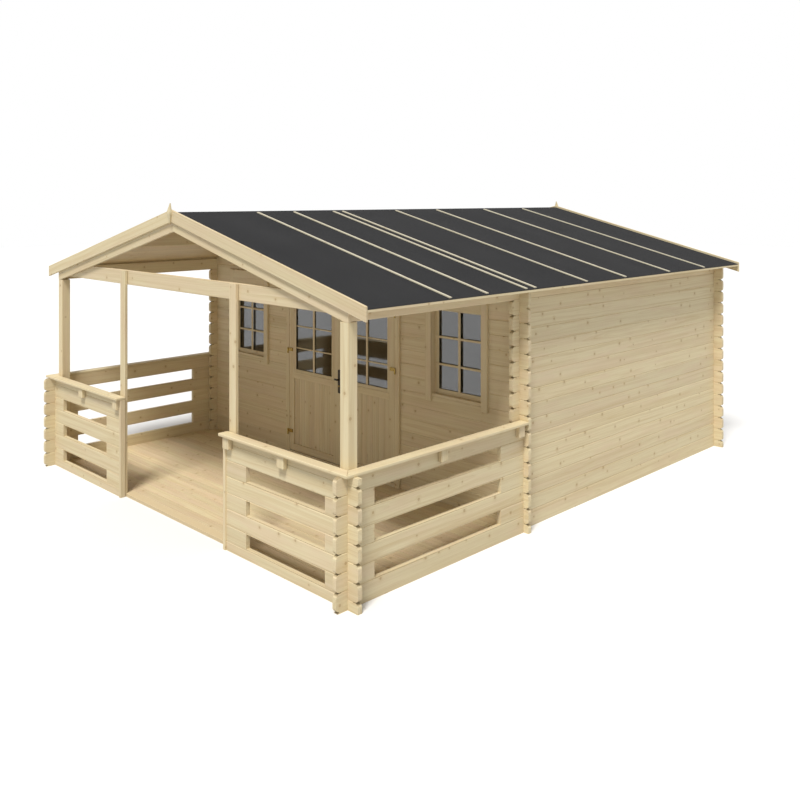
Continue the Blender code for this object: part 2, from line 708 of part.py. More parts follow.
def handle(finish, axis):
    """Plate and lever on the outside of the left leaf."""
    face = LEAF_Y[0] - GAP
    plate = (face - HANDLE_PLATE, face)
    made = piece("door_handle", boxes((HANDLE_X, plate, HANDLE_Z)), finish, axis)
    plane_edges(made, ARRIS / 2)
    middle = (HANDLE_X[0] + HANDLE_X[1]) / 2
    lever_y = face - LEVER_REACH
    neck = bmesh.new()
    add_rod(neck, (middle, LEVER_Z), "Y", (lever_y, face - HANDLE_PLATE / 2),
            LEVER_RADIUS, LEVER_SIDES)
    combine(made, neck, "UNION")
    lever = bmesh.new()
    add_rod(lever, (lever_y, LEVER_Z), "X", (middle + LEVER_TIP_X, middle + LEVER_RADIUS),
            LEVER_RADIUS, LEVER_SIDES)
    combine(made, lever, "UNION")


def build_doors(wood, glass, brass, black, parent):
    door_frame(wood, parent)
    for side, word, meets in ((-1, "left", LEFT_LEAF_MEETS_X), (1, "right", RIGHT_LEAF_MEETS_X)):
        axis = empty(f"{word}_door_axis", (side * HINGE_X, HINGE_Y, 0.0), parent)
        door_leaf(side, meets, wood, glass, axis)
        for number, z in enumerate(HINGE_Z, start=1):
            hinge(side, number, z, brass, axis)
        if side < 0:
            handle(black, axis)


# ---------------------------------------------------------------- cabin

def build_walls(wood, parent):
    for side in (-1, 1):
        side_wall(side, wood, parent)
        eave_beam(side, wood, parent)
        front_wall(side, wood, parent)
    gable_wall("front_gable", FRONT_WALL_Y, GABLE_BASE, wood, parent)
    gable_wall("rear_wall", REAR_WALL_Y, 0.0, wood, parent)


def main():
    for old in list(bpy.data.objects):
        bpy.data.objects.remove(old, do_unlink=True)
    wood = material("pale_wood", (0.72, 0.60, 0.42), 0.65)
    boards = material("floor_wood", (0.66, 0.53, 0.35), 0.7)
    felt = material("roof_felt", (0.055, 0.055, 0.06), 0.95)
    glass = material("glass", (0.75, 0.8, 0.8), 0.05, alpha=0.35)
    brass = material("brass", (0.36, 0.25, 0.09), 0.35, metallic=1.0)
    black = material("black_metal", (0.02, 0.02, 0.02), 0.4, metallic=0.6)

    site = empty("cabin_origin", (0.0, -MIDDLE_Y, 0.0))
    build_walls(wood, site)
    build_roof(wood, felt, site)
    build_porch(wood, site)
    porch_floor(boards, site)
    rear_edge = REAR_WALL_Y[0] - GAP
    floor("cabin_floor", SIDE_WALL_X[0] - GAP, (DOOR_FRAME_BACK + GAP, rear_edge), CABIN_BEARERS,
          boards, site)
    for side in (-1, 1):
        window(side, wood, glass, site)
    build_doors(wood, glass, brass, black, site)


main()
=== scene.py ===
"""Finish of a log-built garden cabin with a covered porch.

Walls, posts, purlins and boards of the frame keep their shape and get a finish that follows their
grain. Floors, roof boards, handrails, windows, doors and the handle are built again here from
their single members. Battens, closing strips, nails, screws and the lock are added.
"""

import logging
import math
from dataclasses import dataclass, field
from enum import Enum
from typing import Any, Callable, Iterable, Sequence

import bmesh
import bpy
from mathutils import Matrix, Vector


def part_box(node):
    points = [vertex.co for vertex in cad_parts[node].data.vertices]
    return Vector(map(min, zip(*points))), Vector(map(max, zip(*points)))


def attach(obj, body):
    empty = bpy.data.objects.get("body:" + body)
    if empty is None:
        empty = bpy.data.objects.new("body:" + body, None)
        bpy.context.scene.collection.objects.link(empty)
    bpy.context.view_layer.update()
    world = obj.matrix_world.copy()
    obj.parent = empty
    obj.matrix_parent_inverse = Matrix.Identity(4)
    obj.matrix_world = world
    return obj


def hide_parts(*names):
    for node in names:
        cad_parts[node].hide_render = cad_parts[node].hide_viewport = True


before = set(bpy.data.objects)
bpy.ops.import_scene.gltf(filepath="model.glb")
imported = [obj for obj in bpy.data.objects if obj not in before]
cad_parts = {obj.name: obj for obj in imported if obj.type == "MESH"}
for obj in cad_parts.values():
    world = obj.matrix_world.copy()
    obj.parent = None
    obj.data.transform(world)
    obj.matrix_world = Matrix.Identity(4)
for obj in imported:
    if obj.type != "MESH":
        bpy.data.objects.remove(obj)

LOG = logging.getLogger("cabin")

Span = tuple[float, float]
Colour = tuple[float, float, float]
Point = tuple[float, float, float]

SIDES = (-1, 1)  # left and right of the middle
HAIR = 0.0004  # between members that touch
FINE_EDGE = 0.0010  # planed edges of a member
TRIM_EDGE = 0.0012
EDGE = 0.0015
SOFT_EDGE = 0.0020
ROUND_EDGE = 0.0030
COURSE = 0.120  # height of one wall log
SIDE_PHASE = 0.008  # where the lowest side log begins
FRONT_PHASE = 0.068  # and the lowest whole front log
WHOLE = (10.0, -5.0)  # width and start of one board that takes in any member
PORCH_FLOOR = 0.027  # top of the porch boards
SLOPE = 0.251  # fall of the roof for each metre out
PITCH = math.atan(SLOPE)
HOLLOW_START = (0.0015, 0.0060)  # painted shade in the cut joints, from the log's end,
HOLLOW_STOP = (0.0400, 0.0500)  # to where it stops,
HOLLOW_HEIGHT = (0.0170, 0.0070)  # from the joint,
HOLLOW_DEPTH = (0.0155, 0.0165)  # and from the log's middle plane
NAIL = (0.0035, 0.0012, 10)  # radius, height and sides of a head
SCREW = (0.0032, 0.0012, 12)
CROWN = 0.62  # radius of its top, beside its own
HINGES = (1, 2, 3)  # of one leaf
GOLDEN = 0.618034  # spreads the random numbers of members


class Axis(Enum):
    """The three directions of the frame."""

    X = Vector((1.0, 0.0, 0.0))
    Y = Vector((0.0, 1.0, 0.0))
    Z = Vector((0.0, 0.0, 1.0))

    @property
    def place(self) -> int:
        """Its number among the three."""
        return "XYZ".index(self.name)


class Body(Enum):
    """The bodies that pieces ride on."""

    CABIN = "cabin"
    LEFT_DOOR = "left_door"
    RIGHT_DOOR = "right_door"


class Slot(Enum):
    """The finish slots of the record."""

    WOOD = "pale_wood"
    FLOOR = "floor_wood"
    FELT = "roof_felt"
    GLASS = "glass"
    BRASS = "brass"
    BLACK = "black_metal"


# ---------------------------------------------------------------- node graphs

class Graph:
    """A node tree under construction, for a material or for geometry."""

    def __init__(self, tree: bpy.types.NodeTree) -> None:
        """Keep the tree."""
        self.tree = tree

    def node(self, kind: str, settings: dict[str, Any] | None = None,
             inputs: dict[int | str, Any] | None = None, output: int | str = 0) -> "Value":
        """Add a node.

        Args:
            kind: The node's type name.
            settings: Properties, which are set first.
            inputs: Values or links of its sockets, by index or name.
            output: The socket to return.

        Returns:
            The chosen output, wrapped.
        """
        made = self.tree.nodes.new(kind)
        for name, setting in (settings or {}).items():
            setattr(made, name, setting)
        for key, value in (inputs or {}).items():
            self.feed(made.inputs[key], value)
        return Value(self, made.outputs[output] if made.outputs else None)

    def feed(self, socket: bpy.types.NodeSocket, value: Any) -> None:
        """Link a wrapped socket to an input, or set the input's own value.

        Args:
            socket: The input.
            value: A wrapped socket, a number, a vector or a colour.
        """
        if isinstance(value, Value):
            self.tree.links.new(value.socket, socket)
        elif socket.type == "RGBA":
            socket.default_value = (*value, 1.0)
        else:
            socket.default_value = value

    def math(self, operation: str, *values: Any) -> "Value":
        """Add a Math node over numbers and wrapped sockets."""
        return self.node("ShaderNodeMath", {"operation": operation}, dict(enumerate(values)))

    def stretched(self, vector: Any, by: Point) -> "Value":
        """Stretch a vector, each part by its own factor."""
        return self.node("ShaderNodeVectorMath", {"operation": "MULTIPLY"}, {0: vector, 1: by})

    def combine(self, x: Any, y: Any, z: Any) -> "Value":
        """Join three numbers into a vector."""
        return self.node("ShaderNodeCombineXYZ", None, {0: x, 1: y, 2: z})

    def separate(self, vector: Any) -> "Value":
        """Split a vector into its three numbers."""
        return self.node("ShaderNodeSeparateXYZ", None, {0: vector})

    def mix(self, factor: Any, first: Any, second: Any, blend: str = "MIX") -> "Value":
        """Mix two colours, where the factor is the share of the second."""
        settings = {"data_type": "RGBA", "blend_type": blend, "clamp_factor": True}
        return self.node("ShaderNodeMix", settings, {0: factor, 6: first, 7: second}, 2)

    def between(self, share: "Value", span: Span) -> "Value":
        """The value that lies a share of the way along a span."""
        return share * (span[1] - span[0]) + span[0]

    def smooth(self, value: Any, low: Any, high: Any) -> "Value":
        """A smooth step from 0 at low to 1 at high."""
        settings = {"interpolation_type": "SMOOTHSTEP"}
        return self.node("ShaderNodeMapRange", settings, {0: value, 1: low, 2: high})

    def noise(self, vector: Any, scale: float, detail: float = 2.0) -> "Value":
        """Fractal noise between 0 and 1."""
        return self.node("ShaderNodeTexNoise", {"noise_dimensions": "3D"},
                         {"Vector": vector, "Scale": scale, "Detail": detail})

    def streaks(self, place: Sequence["Value"], stretch: Point, detail: float = 2.0) -> "Value":
        """Noise that is finer or coarser along each of three numbers."""
        place = self.combine(*(part * by for part, by in zip(place, stretch)))
        return self.noise(place, 1.0, detail)

    def random(self, value: Any) -> "Value":
        """A random number for each whole value."""
        return self.node("ShaderNodeTexWhiteNoise", {"noise_dimensions": "1D"}, {"W": value})

    def place(self) -> "Value":
        """The place on the object."""
        return self.node("ShaderNodeTexCoord", output="Object")


def operator(operation: str, reflected: bool = False) -> Callable[["Value", Any], "Value"]:
    """Make an operator that adds one Math node.

    Args:
        operation: The Math node's operation.
        reflected: Whether the socket stands on the right of the sign.

    Returns:
        The method.
    """
    def apply(self: "Value", other: Any) -> "Value":
        """Add the node over both sides of the sign."""
        return self.graph.math(operation, *((other, self) if reflected else (self, other)))
    return apply


@dataclass
class Value:
    """A socket that can be used in a Python expression."""

    graph: Graph
    socket: bpy.types.NodeSocket | None

    __add__, __radd__ = operator("ADD"), operator("ADD", True)
    __sub__, __rsub__ = operator("SUBTRACT"), operator("SUBTRACT", True)
    __mul__, __rmul__ = operator("MULTIPLY"), operator("MULTIPLY", True)
    __truediv__, __pow__ = operator("DIVIDE"), operator("POWER")

    def __abs__(self) -> "Value":
        """The size without its sign."""
        return self.graph.math("ABSOLUTE", self)

    def floor(self) -> "Value":
        """The whole number below."""
        return self.graph.math("FLOOR", self)

    def fraction(self) -> "Value":
        """What is left above the whole number below."""
        return self.graph.math("FRACT", self)

    def out(self, name: str) -> "Value":
        """Another output of the same node."""
        return Value(self.graph, self.socket.node.outputs[name])


# ---------------------------------------------------------------- finishes

@dataclass(frozen=True)
class Grain:
    """Grain of a frame node, read from its place.

    The grain runs along one direction. Boards lie side by side across it, each of the given
    width, and the last direction goes through their thickness.
    """

    along: Axis
    across: Axis
    through: Axis
    middle: float  # of the thickness
    seed: float  # of the node
    width: float = WHOLE[0]  # of one board
    start: float = 0.0  # lower edge of one board
    tilt: float = 0.0  # turn about Y, for boards along the roof
    ends: tuple[float, ...] = ()  # where free log ends with cut joints lie

    def painted_shade_mask(self, graph: Graph, wood: Sequence[Value]) -> Value | None:
        """Mask of the painted shade in the hollows where two logs meet at a free end.

        Args:
            graph: The material's graph.
            wood: The wood coordinates.

        Returns:
            The mask, or nothing without free ends.
        """
        if not self.ends:
            return None
        length, depth, height = wood[:3]
        inside = 1.0
        for end in self.ends:
            inside = graph.math("MINIMUM", inside, abs(length - end))
        near = graph.smooth(inside, *HOLLOW_START) * (1.0 - graph.smooth(inside, *HOLLOW_STOP))
        joint = graph.smooth(abs(height), *(self.width / 2 - off for off in HOLLOW_HEIGHT))
        return near * joint * (1.0 - graph.smooth(abs(depth), *HOLLOW_DEPTH))

    def read(self, graph: Graph) -> tuple[Value, Value, Value, Value]:
        """Work out the wood coordinates.

        Args:
            graph: The material's graph.

        Returns:
            Length, thickness from the middle, height from the board's middle, and random seed.
        """
        place = graph.place()
        if self.tilt:
            place = graph.node("ShaderNodeVectorRotate", {"rotation_type": "Y_AXIS"},
                               {"Vector": place, "Angle": self.tilt})
        axes = graph.separate(place)
        length, width, depth = (
            axes.out(axis.name) for axis in (self.along, self.across, self.through))
        boards = (width - self.start) / self.width
        seed = graph.random(boards.floor() + self.seed)
        return length, depth - self.middle, (boards.fraction() - 0.5) * self.width, seed


@dataclass(frozen=True)
class MemberGrain:
    """Grain of a built piece, read from the attributes that its members carry."""

    def painted_shade_mask(self, graph: Graph, wood: Sequence[Value]) -> None:
        """Built pieces have no cut joints, so no painted shade."""

    def read(self, graph: Graph) -> tuple[Value, Value, Value, Value]:
        """Read the wood coordinates.

        Args:
            graph: The material's graph.

        Returns:
            Length, thickness from the middle, width from the middle, and random seed.
        """
        axes = graph.separate(
            graph.node("ShaderNodeAttribute", {"attribute_name": "grain"}, output="Vector"))
        seed = graph.node("ShaderNodeAttribute", {"attribute_name": "seed"}, output="Fac")
        return axes.out("X"), axes.out("Y"), axes.out("Z"), seed


@dataclass(frozen=True)
class Spruce:
    """Planed untreated spruce with year rings, streaks and small knots, and painted shade in the
    cut joints of free log ends.
    """

    early: Colour = (0.733, 0.634, 0.414)
    late: Colour = (0.594, 0.464, 0.257)
    rosy: Colour = (0.720, 0.590, 0.396)
    knot: Colour = (0.396, 0.239, 0.117)
    rim: Colour = (0.230, 0.120, 0.055)
    painted_joint_shade: Colour = (0.56, 0.53, 0.47)  # painted shade in the cut joints
    contrast: float = 0.10  # between one board and the next
    shift: float = 37.0  # of the pattern, between two boards
    picks: Span = (9.7, 5.1)  # random numbers of its blush and its tone
    mean: float = 0.99  # tone of a board
    ring: float = 0.0042  # width of a year ring
    ring_sharpness: float = 3.0
    heart: tuple[tuple[float, ...], ...] = (  # of the rings, through and across the board:
        (3.3, 0.22, 1.0, 0.050),  # random number, distance off,
        (7.9, 0.07, 2.7, 0.045))  # and pace and reach of its wandering
    slow_grain: Span = (0.55, 11.0)
    bulge: float = 0.0045  # of the rings round a knot
    ripple: float = 0.0032
    ripple_grain: Point = (4.0, 40.0, 40.0)
    band_grain: Point = (95.0, 13.0, 0.25)
    band_step: Span = (0.36, 0.74)
    streak_grain: Point = (0.9, 30.0, 55.0)
    fibre_grain: Point = (2.4, 90.0, 260.0)
    blush_grain: Point = (2.3, 7.0, 13.0)
    blush_step: Span = (0.46, 0.80)
    blush_spread: float = 0.22
    late_shares: Span = (0.26, 0.48)  # of the rings and the bands
    knot_spacing: float = 0.185
    knot_share: float = 0.58  # of the places that hold one
    knot_radius: Span = (0.0050, 0.0120)
    knot_step: Span = (0.60, 1.20)  # fading edges, in radii
    halo_step: Span = (0.60, 3.60)
    rim_step: Span = (0.45, 0.95)
    knot_cover: float = 0.52
    halo_cover: float = 0.42
    roughness: Span = (0.50, 0.68)
    gloss: float = 0.22
    relief: Span = (0.35, 0.0004)  # strength and depth
    heights: Point = (0.35, 0.8, 0.5)  # of the rings, knots and streaks

    def material(self, name: str, grain: Grain | MemberGrain = MemberGrain()) -> bpy.types.Material:
        """Make the material for one direction of grain.

        Args:
            name: Name of the material.
            grain: Where the wood coordinates come from.

        Returns:
            The material.
        """
        made, graph, shader = new_material(name)
        wood = grain.read(graph)
        length, depth, height, seed = wood
        far = length + seed * self.shift
        place = (far, depth, height)
        knot, halo, rim = self._knots(graph, far, height + depth)
        rings, bands = self._rings(graph, place, seed, halo)
        streaks = graph.streaks(place, self.streak_grain, 4.0)
        fibres = graph.streaks(place, self.fibre_grain)
        late = (rings * self.late_shares[0] + bands * self.late_shares[1] + (streaks - 0.5)
                + (fibres - 0.5))
        blush = graph.streaks((far, seed, height), self.blush_grain)
        blush = blush + graph.random(seed * self.picks[0]) * self.blush_spread
        blush = graph.smooth(blush, *self.blush_step)
        colour = graph.mix(late, graph.mix(blush, self.early, self.rosy), self.late)
        tone = (graph.random(seed * self.picks[1]) - 0.5) * self.contrast + self.mean
        colour = graph.mix(1.0, colour, graph.combine(tone, tone, tone), "MULTIPLY")
        colour = graph.mix(halo * self.halo_cover, colour, self.late)
        colour = graph.mix(knot * self.knot_cover, colour, graph.mix(rim, self.knot, self.rim))
        # Painted shade: the colour is darkened in the cut joints at free log ends.
        painted_shade_mask = grain.painted_shade_mask(graph, wood)
        if painted_shade_mask:
            colour = graph.mix(painted_shade_mask, colour, graph.mix(1.0, colour, self.painted_joint_shade, "MULTIPLY"))
        heights = rings * self.heights[0] + knot * self.heights[1] + streaks * self.heights[2]
        feed_shader(graph, shader, colour, graph.between(streaks, self.roughness), heights,
                    self.relief, {"Specular IOR Level": self.gloss})
        return made

    def _knots(self, graph: Graph, far: Value, height: Value) -> tuple[Value, Value, Value]:
        """Scatter knots over the face.

        Args:
            graph: The material's graph.
            far: Length along the grain, shifted for each board.
            height: Height from the board's middle.

        Returns:
            Masks of the knots, of the wood that bends round them and of their dark rims.
        """
        cells = graph.node("ShaderNodeTexVoronoi", {"voronoi_dimensions": "2D", "feature": "F1"},
                           {"Vector": graph.combine(far, height, 0.0),
                            "Scale": 1.0 / self.knot_spacing})
        picks = graph.node("ShaderNodeSeparateColor", None, {0: cells.out("Color")})
        present = graph.math("LESS_THAN", picks.out("Green"), self.knot_share)
        radii = cells * self.knot_spacing / graph.between(picks, self.knot_radius)
        knot, halo = ((1.0 - graph.smooth(radii, *step)) * present
                      for step in (self.knot_step, self.halo_step))
        return knot, halo, graph.smooth(radii, *self.rim_step)

    def _rings(self, graph: Graph, place: Sequence[Value], seed: Value,
               halo: Value) -> tuple[Value, Value]:
        """Year rings round a heart that lies off the board and wanders along it.

        Args:
            graph: The material's graph.
            place: Length shifted for each board, depth and height.
            seed: Random number of the board.
            halo: Mask of the wood round the knots, which bulges the rings.

        Returns:
            Late wood of the single rings, and broad bands of rings.
        """
        far = place[0]
        slow = graph.combine(far * self.slow_grain[0], seed * self.slow_grain[1], 0.0)
        across, up = (
            side + (graph.random(seed * pick) - 0.5) * off + (graph.noise(slow, pace) - 0.5) * reach
            for side, (pick, off, pace, reach) in zip(place[1:], self.heart))
        radius = graph.math("SQRT", across * across + up * up) + halo * self.bulge
        radius = radius + (graph.streaks(place, self.ripple_grain, 3.0) - 0.5) * self.ripple
        rings = (radius / self.ring).fraction() ** self.ring_sharpness
        bands = graph.streaks((radius, seed, far), self.band_grain)
        return rings, graph.smooth(bands, *self.band_step)


@dataclass(frozen=True)
class Felt:
    """Roofing felt with fine mineral grit."""

    dark: Colour = (0.0175, 0.0175, 0.0185)
    pale: Colour = (0.036, 0.036, 0.037)
    grit: float = 0.0016
    clouds: Span = (2.3, 5.0)  # scale and detail
    wear: Span = (1.1, 4.0)
    wear_grain: Point = (1.0, 4.0, 1.0)
    shares: Point = (0.55, 0.5, 0.4)  # of the grit, the clouds and the wear
    base: float = 0.16
    roughness: Span = (0.96, 0.86)
    gloss: float = 0.12
    relief: Span = (0.5, 0.0006)
    swell: float = 0.6  # of the clouds, beside the grit

    def material(self, name: str) -> bpy.types.Material:
        """Make the felt.

        Args:
            name: Name of the material.

        Returns:
            The material.
        """
        made, graph, shader = new_material(name)
        place = graph.place()
        grains = graph.node("ShaderNodeTexVoronoi", {"feature": "F1"},
                            {"Vector": place, "Scale": 1.0 / self.grit})
        picks = graph.node("ShaderNodeSeparateColor", None, {0: grains.out("Color")})
        clouds = graph.noise(place, *self.clouds)
        worn = graph.noise(graph.stretched(place, self.wear_grain), *self.wear)
        grit, cloud, wear = self.shares
        share = picks * grit + (clouds - 0.5) * cloud + (worn - 0.5) * wear + self.base
        feed_shader(graph, shader, graph.mix(share, self.dark, self.pale),
                    graph.between(picks, self.roughness), picks.out("Green") + clouds * self.swell,
                    self.relief, {"Specular IOR Level": self.gloss})
        return made


@dataclass(frozen=True)
class Glass:
    """Clear float glass, a little uneven and dusty."""

    tint: Colour = (0.30, 0.32, 0.33)
    waves: Span = (1.7, 1.0)  # scale and detail
    dust: Span = (26.0, 4.0)
    roughness: Span = (0.015, 0.05)
    ior: float = 2.0
    relief: Span = (0.05, 0.02)

    def material(self, name: str) -> bpy.types.Material:
        """Make the glass.

        Args:
            name: Name of the material.

        Returns:
            The material.
        """
        made, graph, shader = new_material(name)
        place = graph.place()
        feed_shader(graph, shader, self.tint,
                    graph.between(graph.noise(place, *self.dust), self.roughness),
                    graph.noise(place, *self.waves), self.relief,
                    {"Transmission Weight": 1.0, "IOR": self.ior})
        return made


@dataclass(frozen=True)
class Metal:
    """Metal with rubbed and dull patches and fine scratches."""

    bright: Colour
    dull: Colour
    metallic: float
    roughness: Span
    patches: Span = (90.0, 4.0)  # scale and detail
    patch_step: Span = (0.35, 0.7)
    scratches: Span = (900.0, 2.0)
    scratch_grain: Point = (1.0, 1.0, 0.06)
    relief: Span = (0.25, 0.0002)

    def material(self, name: str) -> bpy.types.Material:
        """Make the metal.

        Args:
            name: Name of the material.

        Returns:
            The material.
        """
        made, graph, shader = new_material(name)
        place = graph.place()
        share = graph.smooth(graph.noise(place, *self.patches), *self.patch_step)
        scratches = graph.noise(graph.stretched(place, self.scratch_grain), *self.scratches)
        feed_shader(graph, shader, graph.mix(share, self.bright, self.dull),
                    graph.between(share, self.roughness), scratches, self.relief,
                    {"Metallic": self.metallic})
        return made


def new_material(name: str) -> tuple[bpy.types.Material, Graph, bpy.types.Node]:
    """Start a material.

    Args:
        name: Name of the material.

    Returns:
        The material, its graph and its shader node.
    """
    made = bpy.data.materials.new(name)
    made.use_nodes = True
    return made, Graph(made.node_tree), made.node_tree.nodes["Principled BSDF"]


def feed_shader(graph: Graph, shader: bpy.types.Node, colour: Value | Colour, roughness: Value,
                heights: Value, relief: Span, levels: dict[str, float]) -> None:
    """Feed the sockets that every finish uses.

    Args:
        graph: The material's graph.
        shader: Its shader node.
        colour: The colour over the surface.
        roughness: The roughness over the surface.
        heights: The small heights of the surface.
        relief: Strength and depth of those heights.
        levels: Plain values of other sockets.
    """
    strength, depth = relief
    bump = graph.node("ShaderNodeBump", None,
                      {"Height": heights, "Strength": strength, "Distance": depth})
    feeds = {"Base Color": colour, "Roughness": roughness, "Normal": bump, **levels}
    for socket, value in feeds.items():
        graph.feed(shader.inputs[socket], value)


class Finish(Enum):
    """Finishes of the built pieces, as the material's name, its slot and how it is made."""

    WALL = ("spruce_members", Slot.WOOD, Spruce())
    FLOOR = ("floor_members", Slot.FLOOR, Spruce(
        early=(0.705, 0.600, 0.380), late=(0.555, 0.425, 0.225), rosy=(0.700, 0.550, 0.375),
        contrast=0.15))
    # Painted shade: a darker, browner copy of the spruce for the roof boards seen from below in the
    # porch.
    DECK = ("deck_members_painted_shade", Slot.WOOD, Spruce(
        early=(0.640, 0.512, 0.298), late=(0.515, 0.372, 0.184), rosy=(0.628, 0.476, 0.283)))
    BATTEN = ("batten_members", Slot.WOOD, Spruce(
        early=(0.610, 0.565, 0.435), late=(0.480, 0.425, 0.300), rosy=(0.590, 0.535, 0.410)))
    FELT = ("roofing_felt", Slot.FELT, Felt())
    GLASS = ("float_glass", Slot.GLASS, Glass())
    BRASS = ("dull_brass", Slot.BRASS, Metal(
        bright=(0.50, 0.36, 0.11), dull=(0.26, 0.17, 0.055), metallic=1.0, roughness=(0.28, 0.48)))
    BLACK = ("black_coat", Slot.BLACK, Metal(
        bright=(0.026, 0.017, 0.008), dull=(0.040, 0.027, 0.014), metallic=0.2,
        roughness=(0.38, 0.55)))
    ZINC = ("nail_zinc", Slot.BRASS, Metal(
        bright=(0.62, 0.60, 0.55), dull=(0.40, 0.38, 0.33), metallic=1.0, roughness=(0.35, 0.55)))

    @property
    def slot(self) -> str:
        """Name of the record's slot that it is taken from."""
        return self.value[1].value

    def material(self) -> bpy.types.Material:
        """The material, made the first time that it is asked for."""
        name, _, make = self.value
        return bpy.data.materials.get(name) or make.material(name)


# ---------------------------------------------------------------- pieces

def add_piece(name: str, mesh: bpy.types.Mesh, finish: Finish = Finish.WALL,
              body: Body = Body.CABIN, replaces: str | None = None) -> None:
    """Put a finished mesh in the scene as a piece.

    Args:
        name: Name of the piece.
        mesh: Its mesh, in place.
        finish: Its finish, whose material the mesh gets when it has none.
        body: What it rides on.
        replaces: The frame node that it stands for.
    """
    mesh.name = name
    if not mesh.materials:
        mesh.materials.append(finish.material())
    made = linked(name, mesh)
    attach(made, body.value)
    finish.slot
    if replaces:
        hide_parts(replaces)
    LOG.info("%s: %d faces", name, len(mesh.polygons))


def linked(name: str, data: bpy.types.ID) -> bpy.types.Object:
    """Put a mesh, a lamp or a camera in the scene.

    Args:
        name: Name of its object.
        data: The mesh, lamp or camera.

    Returns:
        Its object.
    """
    made = bpy.data.objects.new(name, data)
    bpy.context.scene.collection.objects.link(made)
    return made


def baked(source: bpy.types.Object) -> bpy.types.Mesh:
    """Turn an object with its modifiers into a plain mesh.

    Args:
        source: The object, which is removed.

    Returns:
        The mesh.
    """
    graph = bpy.context.evaluated_depsgraph_get()
    mesh = bpy.data.meshes.new_from_object(source.evaluated_get(graph))
    source.modifiers.clear()
    bpy.data.objects.remove(source, do_unlink=True)
    return mesh


def plain(name: str, source: bmesh.types.BMesh) -> bpy.types.Mesh:
    """Turn worked faces into a mesh.

    Args:
        name: Name of the mesh.
        source: The faces, which are freed.

    Returns:
        The mesh.
    """
    made = bpy.data.meshes.new(name)
    source.to_mesh(made)
    source.free()
    return made


def joined(name: str, meshes: Sequence[bpy.types.Mesh]) -> bpy.types.Mesh:
    """Join meshes into one.

    Args:
        name: Name of the joined mesh.
        meshes: The meshes, which are removed.

    Returns:
        The joined mesh.
    """
    whole = bmesh.new()
    for mesh in meshes:
        whole.from_mesh(mesh)
        bpy.data.meshes.remove(mesh)
    return plain(name, whole)


def without(mesh: bpy.types.Mesh, cutters: bpy.types.Mesh) -> bpy.types.Mesh:
    """Cut one mesh out of another, which keeps its attributes.

    Args:
        mesh: The mesh that is cut.
        cutters: The mesh that cuts it.

    Returns:
        What is left.
    """
    target, tool = linked("target", mesh), linked("tool", cutters)
    cut = target.modifiers.new("cut", "BOOLEAN")
    cut.operation, cut.solver, cut.object = "DIFFERENCE", "EXACT", tool
    cut.use_self = True
    made = baked(target)
    bpy.data.objects.remove(tool, do_unlink=True)
    return made


